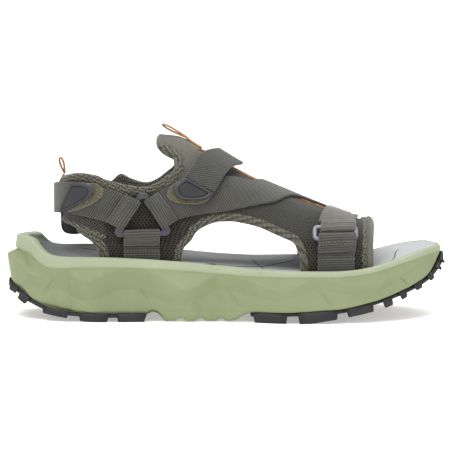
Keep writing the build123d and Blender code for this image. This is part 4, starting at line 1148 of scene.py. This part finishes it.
def make_heel_tab():
    outline = [(-27.6, 93.4), (-34.2, 93.5), (-39.0, 92.0), (-40.2, 88.2), (-37.6, 83.4), (-31, 78.2),
               (-24, 73.8), (-18.0, 71.6), (-20.8, 78), (-24.4, 86)]
    patch("heel_moulded_tab", "heel_flap", "heel_tab", SOFT_PLASTIC, outline, heel,
          (7.7, 10.2), 1.0, tab_dish(1.9))


def make_patches():
    """Hook patches on the strap ends and the loop patches under them."""
    instep_hook = [(-28.5, 93.5), (-32.5, 89.5), (-31, 85.5), (-24, 84), (-15.5, 84.5), (-12, 86.5)]
    instep_loop = [(-30, 96), (-37.5, 91), (-40.6, 86.4), (-39, 82.2), (-33.5, 79.8), (-20, 78.8), (-12.6, 81.2),
                   (-9.6, 85), (-18, 91.5)]
    heel_hook = [(-26.5, 90.5), (-33, 90), (-33.5, 86), (-30.5, 82), (-25, 78.6), (-22.5, 78)]
    heel_loop = [(-30, 93), (-40.5, 93), (-44.6, 89.6), (-44.2, 84.5), (-38.5, 79), (-30.5, 74.8), (-23, 72.8),
                 (-19, 75), (-24, 86)]
    toe_hook, toe_loop = ([(near, top), (far, top), (far - 2.5, low), (near - 2.5, low)]
                          for near, far, top, low in ((68, 84, -0.12, -0.34), (67, 85, -0.04, -0.36)))
    under_tab = (5.1, 6.4)
    for part, kind, outline, place, layer, edge, fuzz in (
            ("instep", "hook", side_points(instep_hook, LATERAL, HOOK[1]), crown, HOOK, 0.5, 0.1),
            ("instep", "loop", side_points(instep_loop, LATERAL, under_tab[1]), crown, under_tab, 0.5, 0.1),
            ("heel", "hook", heel_hook, heel, HOOK, 0.5, 0.1),
            ("heel", "loop", heel_loop, heel, under_tab, 0.5, 0.1),
            ("toe", "hook", toe_hook, crown, HOOK, 0.35, 0.0),
            ("toe", "loop", toe_loop, crown, FIXED_PATCH, 0.35, 0.0)):
        body = f"{part}_flap" if kind == "hook" else "sandal"
        patch(f"{part}_{kind}_tape", body, f"{part}_{kind}_patch", FUZZ, outline, place,
              layer, edge, fuzz=fuzz)


def make_heel_wrap():
    upper = heel_points([(-53.5, 77.8), (-66, 83.2), (-80, 86)], MEDIAL) + [(30, 88), (14, 90), (0, 90.8)]
    lower = heel_points([(-62.5, 56.6), (-76.4, 63), (-80, 64.8)], MEDIAL) + [(30, 67.5), (14, 70), (0, 70.6)]
    upper += [(-15, 92.4), (-22, 93.2), (-28.2, 93.4)]
    lower += [(-15, 71.9), (-17, 72.2), (-19.2, 72.6)]
    cloth = folded(upper, lower, heel, tri_bar(MEDIAL, TRI_REAR, TRI_TOP), TOP_WEB, 12.0, LONG, width=21.0)
    sew(cloth, 10.0)
    obj = finish_strap(cloth, "heel_wrap_webbing", ["heel_wrap_strap", "heel_strap_end"], None)
    points, normals = on_foot(heel, (-11.5, -18.5), (84.0, 84.0))
    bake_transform(obj)


def toe_bar(upper):
    corners = [in_plane(TOE_RING_CENTRE, LATERAL, corner) for corner in toe_corners()]
    return (corners[3], corners[2]) if upper else (corners[0], corners[1])


def make_toe_strap():
    low = float(FLOOR(75)) - TUCK
    rear = side_points([(87.5, low), (87, 45)], MEDIAL) + [(84, 0.55), (78.5, 0.3), (72, 0.12), (69, 0)]
    rear += [(66.5, -0.18), (64, -0.36)] + side_points([(62.2, 58), (62, 49)], LATERAL)
    front = side_points([(90.6, low), (90.6, 45)], MEDIAL) + [(90.6, 0.55), (90.5, 0.3), (90, 0.12), (89.5, 0)]
    front += [(88, -0.18), (86.6, -0.36)] + side_points([(85, 57), (84.8, 49)], LATERAL)
    cloth = folded(rear[::-1], front[::-1], crown, toe_bar(True), TOP_WEB, LONG, 4.0, 200)
    sew(cloth, 5.4)
    finish_strap(cloth, "toe_webbing", ["toe_strap"], material=LOOP_WEBBING)


def make_toe_anchor():
    low = float(FLOOR(73)) - TUCK
    rear = side_points([(61.3, 64), (61.3, 50), (61.3, low)], LATERAL)
    front = side_points([(85.2, 64), (85.2, 50), (85.2, low)], LATERAL)
    cloth = folded(rear, front, crown, toe_bar(False), DOUBLED, LONG, 7.5)
    sew(cloth, 8.6, 10.0)
    sew(cloth, -18.0, face=-1)
    finish_strap(cloth, "toe_anchor_webbing", ["toe_anchor_strap"])


def make_toe_flap():
    rear = side_points([(62.2, 68.6), (64.3, 73), (67.3, 77)], LATERAL, TOP_WEB[1])
    front = side_points([(85.7, 66.4), (87, 69.2), (88.2, 70.9)], LATERAL, TOP_WEB[1])
    build = Build()
    grid = band(rear, front, crown, spaced(10, 0.6, 0.7), spaced(25, 0.6, 1.0))
    skin(build, grid, TOP_WEB, 0.6)
    keep(build, "toe_flap_webbing", "toe_flap", ["toe_strap_flap"], [LOOP_WEBBING])


# ---- trim ----

def ribbon(name, body, nodes, line, width, thick, closed=False):
    """Flat ribbon with rounded edges along a line of points in x and z."""
    line = xyz(line[:, 0], 0, line[:, 1])
    ahead = unit(np.roll(line, -1, 0) - np.roll(line, 1, 0) if closed else np.gradient(line, axis=0))
    side = np.broadcast_to([0, 1.0, 0], line.shape)
    up = unit(np.cross(ahead, side))
    angle = np.radians(np.arange(0, 360, 22.5))
    a = bent(np.cos(angle), 0.35) * width / 2
    b = bent(np.sin(angle), 0.7) * thick / 2
    verts = line[:, None, :] + side[:, None, :] * a[:, None] + up[:, None, :] * b[:, None]
    rows, sides = verts.shape[:2]
    faces = grid_faces(rows, sides, True)
    if closed:
        last = (rows - 1) * sides
        faces += [[last + k, k, (k + 1) % sides, last + (k + 1) % sides] for k in range(sides)]
    else:
        faces += end_caps(rows, sides)
    uv = np.stack(np.broadcast_arrays(np.arange(1.0, rows + 1)[:, None], a), -1)
    build = Build()
    build.add(verts, faces, uv)
    keep(build, name, body, nodes, [ORANGE])


def pull_loop(name, body, node, base, height, lean, width, spread):
    """Loop of thin ribbon sewn in at its base."""
    thick = 1.1
    angle = np.radians(np.arange(-90, 270, 7.5))
    narrow = 0.3 + 0.7 * (0.5 + 0.5 * np.sin(angle))
    x = np.cos(angle) * (spread - thick / 2) * narrow
    z = height / 2 + np.sin(angle) * (height / 2 - thick / 2)
    sine, cosine = math.sin(math.radians(lean)), math.cos(math.radians(lean))
    line = np.stack([base[0] + x * cosine - z * sine, base[1] + x * sine + z * cosine], -1)
    ribbon(name, body, [node], line, width, thick, True)


def ribbon_tail(name, width, *points):
    """The sewn-down end of a pull loop."""
    line = smooth_at(np.linspace(0, 1, 16), np.linspace(0, 1, len(points)), np.array(points, float))
    ribbon(name, "sandal", [], line, width, 1.5)


def make_ridge():
    """Piping along the ridge: a dark tape with orange edges."""
    def edge(side, start):
        return [(x, side * girth) for x, girth in ((start, 0.045), (0, 0.045), (40, 0.05), (88, 0.06))]

    build = Build()
    at = np.linspace(0, 1, 60)
    for side in (LATERAL, MEDIAL):
        spots = resample(edge(side, -25), crown, at)
        points, normals = on_foot(crown, spots[:, 0], spots[:, 1])
        tube(build, points + normals * (3.0 + 0.5 * ramp(-points[:, :1], 4, 10)), 0.6)
    tape = band(edge(LATERAL, -17), edge(MEDIAL, -17), crown, at, spaced(4, 0.3, 0.6))
    skin(build, tape, (2.6, 3.1), 0.3, mat=1)
    keep(build, "ridge_piping", "sandal", ["ridge_ribbon"], [ORANGE, BINDING_KNIT])


def make_guard():
    """Moulded patch outside the straps on the medial side of the heel."""
    outline = [(18, 57), (20.5, 53.2), (24.5, 51.9), (28, 51.0), (32, 51.8), (36.5, 53.0), (39, 57), (39.2, 72),
               (39, 88), (36, 92.8), (28, 93.8), (20.5, 92.8), (17.5, 88), (17.5, 72)]
    patch("medial_heel_guard_patch", "sandal", "medial_heel_guard", SOFT_PLASTIC, outline, heel,
          GUARD, 0.8, lambda inset: -0.5 * ramp(inset, 2.2, 2.8) + 0.35 * ramp(inset, 5.0, 5.6))


# ---- materials ----

class Shader:
    """One material: a Principled shader with helpers for its pattern nodes."""

    def __init__(self, name, roughness, **settings):
        self.material = bpy.data.materials.new(name)
        self.material.use_nodes = True
        self.tree = self.material.node_tree
        self.bsdf = next(n for n in self.tree.nodes if n.type == "BSDF_PRINCIPLED")
        self.bsdf.inputs["Roughness"].default_value = roughness
        for key, value in settings.items():
            self.bsdf.inputs[key.replace("_", " ")].default_value = value

    def node(self, kind, settings=None, **inputs):
        node = self.tree.nodes.new("ShaderNode" + kind)
        for key, value in (settings or {}).items():
            setattr(node, key, value)
        for key, value in inputs.items():
            self.put(node.inputs[key.replace("_", " ")], value)
        return node

    def put(self, socket, value):
        if isinstance(value, bpy.types.NodeSocket):
            self.tree.links.new(value, socket)
        else:
            socket.default_value = value

    def math(self, operation, a, b=0.0, c=0.0):
        node = self.node("Math", {"operation": operation})
        for socket, value in zip(node.inputs, (a, b, c)):
            self.put(socket, value)
        return node.outputs[0]

    def add(self, a, b):
        return self.math("ADD", a, b)

    def mul(self, a, b):
        return self.math("MULTIPLY", a, b)

    def mad(self, a, b, c):
        return self.math("MULTIPLY_ADD", a, b, c)

    def flow(self):
        """Millimetres along and across the piece."""
        uv = self.node("UVMap", {"uv_map": "flow"}).outputs[0]
        split = self.node("SeparateXYZ", Vector=uv)
        return split.outputs[0], split.outputs[1]

    def place(self):
        return self.node("TexCoord").outputs["Object"]

    def tone(self):
        return self.node("Attribute", {"attribute_name": "tone"}).outputs["Fac"]

    def noise(self, scale, detail=3.0, roughness=0.6):
        node = self.node("TexNoise", Vector=self.place(), Scale=scale, Detail=detail, Roughness=roughness)
        return node.outputs["Fac"]

    def ramp(self, value, *stops):
        node = self.node("ValToRGB", Fac=value)
        band_of = node.color_ramp
        while len(band_of.elements) < len(stops):
            band_of.elements.new(0.5)
        for element, (at, colour) in zip(band_of.elements, stops):
            element.position = at
            element.color = (*colour, 1)
        return node.outputs["Color"]

    def step(self, value, low, high, kind="SMOOTHSTEP"):
        """0 below the low value, 1 above the high one."""
        node = self.node("MapRange", {"interpolation_type": kind}, Value=value, From_Min=low, From_Max=high)
        return node.outputs[0]

    def wave(self, value, pitch):
        """0 to 1 wave along a distance in millimetres, highest at its start."""
        return self.mad(self.math("COSINE", self.mul(value, 2 * math.pi / pitch)), 0.5, 0.5)

    def dots(self, u, v, pitch_u, pitch_v):
        """Distance in millimetres to the nearest of a staggered grid of dots."""
        gaps = []
        for start in (0.0, 0.5):
            parts = []
            for value, pitch in ((u, pitch_u), (v, pitch_v)):
                share = self.math("FRACT", self.add(self.math("DIVIDE", value, pitch), 100.0 + start))
                off = self.mul(self.math("SUBTRACT", share, 0.5), pitch)
                parts.append(self.mul(off, off))
            gaps.append(self.math("SQRT", self.add(*parts)))
        return self.math("MINIMUM", *gaps)

    def mixed(self, share, a, b):
        node = self.node("Mix", {"data_type": "RGBA"})
        for socket, value in zip([s for s in node.inputs if s.enabled], (share, a, b)):
            self.put(socket, (*value, 1) if isinstance(value, tuple) else value)
        return next(s for s in node.outputs if s.enabled)

    def finish(self, colour, height=None, strength=1.0, roughness=None):
        self.put(self.bsdf.inputs["Base Color"], colour)
        if roughness is not None:
            self.put(self.bsdf.inputs["Roughness"], roughness)
        if height is not None:
            bump = self.node("Bump", Height=height, Distance=BUMP, Strength=strength)
            self.put(self.bsdf.inputs["Normal"], bump.outputs["Normal"])
        return self.material


BUMP = 0.001               # metres of relief at full height
LIGHTING = 0.56            # share of a displayed colour that the surface itself has, under these lights


def srgb(*values):
    """Surface colour that shows as these 8-bit display values."""
    return tuple(LIGHTING * ((v / 255 + 0.055) / 1.055) ** 2.4 for v in values)


def foam():
    s = Shader("foam", 0.62, Specular_IOR_Level=0.35)
    grain = s.noise(38, 4)
    body = s.ramp(grain, (0.3, srgb(150, 162, 120)), (0.7, srgb(161, 173, 131)))
    # The lip colour is a lighter, paler copy of the body colour: painted highlight on the rim and lip band, mixed
    # in by the tone.
    lip = s.ramp(grain, (0.3, srgb(178, 188, 156)), (0.7, srgb(188, 197, 168)))
    colour = s.mixed(s.tone(), body, lip)
    fine = s.mad(s.noise(2600, 2), 0.05, s.mul(s.noise(420, 3), 0.06))
    return s.finish(colour, fine, strength=0.7)


def outsole_rubber():
    s = Shader("outsole_rubber", 0.66, Specular_IOR_Level=0.4)
    colour = s.ramp(s.noise(60, 5), (0.3, srgb(31, 31, 34)), (0.7, srgb(46, 46, 49)))
    fine = s.mad(s.noise(1800, 2), 0.06, s.mul(s.noise(260, 3), 0.12))
    return s.finish(colour, fine, strength=0.8, roughness=s.mad(s.noise(150), 0.25, 0.5))


def footbed_foam():
    s = Shader("footbed_foam", 0.78, Specular_IOR_Level=0.25)
    x = s.node("SeparateXYZ", Vector=s.place()).outputs[0]
    # Darker towards the heel: painted shade from the heel upper over the speckled foam. The front is made lighter
    # to make up for the shade the upper casts on it.
    share = s.step(x, -0.1, -0.03)
    speck = s.noise(1500, 2, 0.8)
    rear = s.ramp(speck, (0.35, srgb(100, 101, 101)), (0.65, srgb(146, 148, 148)))
    front = s.ramp(speck, (0.35, srgb(200, 202, 204)), (0.65, srgb(218, 220, 222)))
    u, v = s.flow()
    pores = s.dots(u, v, 2.4, 2.4 * 1.732)
    height = s.mad(s.math("MINIMUM", pores, 0.45), 0.5, s.mul(speck, 0.08))
    return s.finish(s.mixed(share, rear, front), height, strength=0.45)


def dark_line():
    s = Shader("dark_line", 0.7)
    return s.finish(s.ramp(s.noise(900), (0.3, srgb(24, 26, 28)), (0.7, srgb(38, 40, 42))))


def knit_fabric(name, dark, light, pitch, hole_pitch):
    """Padded knit: slanting loops with flecks of lighter yarn, and rows of small holes painted near black as
    shade.
    """
    s = Shader(name, 0.9, Sheen_Weight=0.25, Sheen_Roughness=0.5, Specular_IOR_Level=0.2)
    u, v = s.flow()
    wobble = s.mul(s.noise(180, 2), 1.6)
    lean = s.add(s.add(u, s.mul(v, 0.7)), wobble)
    loops = s.mul(s.wave(lean, pitch), s.wave(s.math("SUBTRACT", v, s.mul(u, 0.25)), pitch * 1.3))
    fleck = s.noise(950, 3, 0.7)
    level = s.mad(fleck, 0.7, s.mul(loops, 0.5))
    colour = s.ramp(level, (0.28, dark), (0.5, tuple((a + b) / 2 for a, b in zip(dark, light))), (0.72, light))
    height = s.mad(loops, 0.35, s.mul(fleck, 0.25))
    solid = s.step(s.dots(u, v, hole_pitch, hole_pitch * 0.9), 0.35, 0.62, "LINEAR")
    # The holes are painted near black: painted shade seen through them.
    colour = s.mixed(solid, srgb(24, 24, 18), colour)
    height = s.mul(height, solid)
    return s.finish(colour, height, strength=0.9)


def air_mesh(name, pitch, radius, dark, light):
    """Open mesh with staggered holes, painted near black as the shade seen through them."""
    s = Shader(name, 0.88, Sheen_Weight=0.2, Specular_IOR_Level=0.2)
    u, v = s.flow()
    solid = s.step(s.dots(u, v, pitch, pitch * 1.4), radius * 0.65, radius * 1.15)
    yarn = s.ramp(s.noise(1100, 3), (0.3, dark), (0.7, light))
    # The holes are painted near black: painted shade seen through the open mesh.
    return s.finish(s.mixed(solid, srgb(16, 16, 14), yarn), s.mad(solid, 0.6, s.mul(s.noise(1500), 0.1)))


def smooth_cloth():
    s = Shader("smooth_cloth", 0.8, Sheen_Weight=0.3, Sheen_Roughness=0.4, Specular_IOR_Level=0.25)
    u, v = s.flow()
    weave = s.mul(s.wave(u, 0.55), s.wave(v, 0.55))
    colour = s.ramp(s.mad(s.noise(700, 4), 0.8, s.mul(weave, 0.2)),
                    (0.3, srgb(104, 105, 95)), (0.7, srgb(128, 129, 117)))
    return s.finish(colour, s.mad(weave, 0.12, s.mul(s.noise(500), 0.15)))


def webbing(name, dark, light, fuzzy):
    """Ribbed webbing: ribs across the strap, with fine yarns crossing them, and painted shade in the grooves
    between the ribs.
    """
    s = Shader(name, 0.82, Sheen_Weight=0.35, Sheen_Roughness=0.45, Specular_IOR_Level=0.25)
    u, v = s.flow()
    rib = s.wave(u, RIB_PITCH)
    yarn = s.wave(s.add(v, s.mul(s.wave(u, RIB_PITCH * 2), 0.35)), 0.62)
    fibre = s.noise(2200, 2, 0.7)
    cloud = s.noise(90, 3)
    # The rib wave in the colour darkens the grooves and lightens the crests: painted shade and highlight.
    level = s.mad(rib, 0.28 if not fuzzy else 0.12, s.mul(yarn, 0.16))
    level = s.add(level, s.mad(fibre, 0.4, s.mul(cloud, 0.2)))
    colour = s.ramp(level, (0.28, dark), (0.72, light))
    height = s.mad(rib, 0.12, s.mad(yarn, 0.14, s.mul(fibre, 0.2)))
    return s.finish(colour, height, strength=0.9)


def plastic(name, dark, light, roughness):
    s = Shader(name, roughness, Specular_IOR_Level=0.5)
    colour = s.ramp(s.noise(140, 4), (0.3, dark), (0.7, light))
    fine = s.mul(s.noise(2400, 2), 0.05)
    return s.finish(colour, fine, strength=0.6, roughness=s.mad(s.noise(300), 0.2, roughness - 0.1))


def soft_plastic():
    """Tab plastic: lighter rim, darker recess, and painted shade along the groove round the recess. The tone is
    the distance from the edge.
    """
    s = Shader("soft_plastic", 0.5, Specular_IOR_Level=0.45)
    tone = s.math("DIVIDE", s.tone(), 10.0)
    # The darkest band, at about 2.5 mm in, is painted shade in the groove round the recess.
    colour = s.ramp(tone, (0.0, srgb(63, 65, 73)), (0.2, srgb(55, 57, 65)), (0.25, srgb(24, 25, 28)),
                    (0.32, srgb(41, 42, 48)), (1.0, srgb(38, 39, 45)))
    return s.finish(colour, s.mul(s.noise(2600, 2), 0.06), strength=0.6)


def fuzz_tape():
    s = Shader("fuzz_tape", 0.95, Sheen_Weight=0.6, Sheen_Roughness=0.6, Specular_IOR_Level=0.1)
    curls = s.node("TexVoronoi", Vector=s.place(), Scale=1300.0).outputs["Distance"]
    level = s.add(s.mul(s.noise(900, 4, 0.7), 0.8), s.mul(curls, 0.3))
    colour = s.ramp(level, (0.35, srgb(52, 48, 22)), (0.62, srgb(104, 97, 56)), (0.8, srgb(140, 130, 84)))
    return s.finish(colour, s.mad(curls, 0.5, s.noise(1500, 3)), strength=0.8)


def orange_ribbon():
    s = Shader("orange_ribbon", 0.75, Sheen_Weight=0.3, Specular_IOR_Level=0.3)
    u, v = s.flow()
    weave = s.mul(s.wave(s.add(u, v), 0.9), s.wave(s.math("SUBTRACT", u, v), 0.9))
    level = s.mad(s.noise(800, 3), 0.7, s.mul(weave, 0.3))
    colour = s.ramp(level, (0.3, srgb(176, 120, 72)), (0.7, srgb(220, 170, 118)))
    return s.finish(colour, s.mul(weave, 0.2), strength=0.8)


def thread():
    s = Shader("thread", 0.7, Sheen_Weight=0.3, Specular_IOR_Level=0.3)
    return s.finish(s.ramp(s.noise(700), (0.3, srgb(92, 92, 74)), (0.7, srgb(138, 138, 116))),
                    s.mul(s.noise(3000, 2), 0.1))


FOAM = foam()
RUBBER_BLACK = outsole_rubber()
FOOTBED_FOAM = footbed_foam()
DARK_LINE = dark_line()
KNIT = knit_fabric("padded_knit", srgb(40, 40, 34), srgb(96, 95, 84), 1.5, 2.6)
BINDING_KNIT = knit_fabric("binding_knit", srgb(52, 52, 44), srgb(146, 144, 126), 1.7, 3.6)
AIR_MESH = air_mesh("air_mesh", 2.45, 0.84, srgb(42, 42, 35), srgb(80, 79, 68))
FINE_MESH = air_mesh("fine_mesh", 1.6, 0.44, srgb(44, 44, 37), srgb(84, 84, 72))
SMOOTH_CLOTH = smooth_cloth()
WEBBING = webbing("webbing", srgb(36, 36, 33), srgb(104, 104, 98), False)
LOOP_WEBBING = webbing("loop_webbing", srgb(88, 88, 82), srgb(152, 152, 144), True)
RING_PLASTIC = plastic("ring_plastic", srgb(54, 55, 65), srgb(74, 75, 87), 0.42)
TOE_RING_PLASTIC = plastic("toe_ring_plastic", srgb(140, 141, 158), srgb(164, 165, 182), 0.4)
SOFT_PLASTIC = soft_plastic()
FUZZ = fuzz_tape()
ORANGE = orange_ribbon()
THREAD = thread()


# ---- assembly ----

make_midsole()
make_footbed()
make_outsole("heel_rubber", "heel_outsole", (-149.0, -54.0), HEEL_LUGS)
make_outsole("forefoot_rubber", "forefoot_outsole", (16.0, 149.3), TOE_LUGS)
make_heel_band()
make_collar()
make_vamp()
make_tongue()
make_toe_edge()
for side in (LATERAL, MEDIAL):
    make_heel_seam(side)
    make_quarter(side)
    make_throat_edge(side)
    make_facing(side)
    make_forefoot_panel(side)
    make_arch_edge(side)
    make_tri_ring(side)
    make_anchor(side)
make_toe_ring()
make_heel_side_strap()
make_cross_strap()
make_instep_strap()
make_instep_tab()
make_heel_wrap()
make_heel_tab()
make_patches()
make_toe_strap()
make_toe_anchor()
make_toe_flap()
make_ridge()
make_guard()
pull_loop("heel_loop_ribbon", "heel_loop", "heel_pull_loop", (-110.7, 97.0), 11.8, 16, 7.0, 2.3)
pull_loop("instep_loop_ribbon", "instep_loop", "instep_pull_loop", (-26.5, 121.5), 20.0, 62, 6.5, 1.9)
ribbon_tail("heel_loop_tail", 7.0, (-111.5, 96.4), (-112.2, 94.9), (-113.6, 92.4), (-114.2, 89.0))
ribbon_tail("instep_loop_tail", 6.5, (-27.6, 121.9), (-25.6, 120.3), (-23.4, 118.6), (-20.6, 116.8),
            (-17.0, 114.6))

# ---- floor, light and camera ----

FLOOR_REACH = 40.0
floor_mesh = bpy.data.meshes.new("floor")
corners = [(x * FLOOR_REACH, y * FLOOR_REACH, 0) for x, y in ((-1, -1), (1, -1), (1, 1), (-1, 1))]
floor_mesh.from_pydata(corners, [], [(0, 1, 2, 3)])
floor = bpy.data.objects.new("floor", floor_mesh)
bpy.context.scene.collection.objects.link(floor)
floor_shader = Shader("floor", 0.9)
floor_shader.bsdf.inputs["Emission Color"].default_value = (1, 0.985, 0.96, 1)
floor_shader.bsdf.inputs["Emission Strength"].default_value = 0.38
floor_mesh.materials.append(floor_shader.finish(floor_shader.ramp(
    floor_shader.noise(3), (0.3, (0.88, 0.86, 0.83)), (0.7, (0.9, 0.88, 0.85)))))

scene = bpy.context.scene
scene.view_settings.view_transform = "Standard"
world = bpy.data.worlds.new("studio")
world.use_nodes = True
world.node_tree.nodes["Background"].inputs["Color"].default_value = (1, 0.99, 0.98, 1)
world.node_tree.nodes["Background"].inputs["Strength"].default_value = 0.8
scene.world = world


def aimed(data, place, target):
    """A light or camera at a place, turned towards a target."""
    obj = bpy.data.objects.new(data.name, data)
    obj.location = place
    x, y, z = unit(np.array(target) - np.array(obj.location))
    obj.rotation_euler = (math.acos(-z), 0, math.atan2(-x, y))
    scene.collection.objects.link(obj)
    return obj


LIGHT_TARGET = (0, 0, 0.05)
for name, place, size, power in (("key", (-0.5, -0.9, 1.5), 1.1, 22), ("top", (0.3, 0.3, 1.6), 1.4, 18),
                                 ("fill", (1.2, -1.0, 0.5), 0.9, 4)):
    light = bpy.data.lights.new(name, "AREA")
    light.shape = "DISK"
    light.size = size
    light.energy = power
    aimed(light, place, LIGHT_TARGET)

ELEVATION = math.radians(6)
DISTANCE = 2.0
TARGET = np.array([-0.001, 0.0, 0.0615])
FRAME_WIDTH = 0.3089       # metres across the picture, at the target
SENSOR = 36.0
camera_data = bpy.data.cameras.new("camera")
camera_data.sensor_width = SENSOR
camera_data.lens = SENSOR * DISTANCE / FRAME_WIDTH
scene.camera = aimed(camera_data, TARGET + DISTANCE * np.array([0, -math.cos(ELEVATION), math.sin(ELEVATION)]),
                     TARGET)

# The only node with no visual piece of its own is the board, sealed under the footbed.
board_shader = Shader("board", 0.9)
board_colour = board_shader.ramp(board_shader.noise(700, 4), (0.3, srgb(160, 152, 136)),
                                 (0.7, srgb(190, 182, 166)))
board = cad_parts["lasting_board"]
board.data.materials.clear()
board.data.materials.append(board_shader.finish(board_colour))
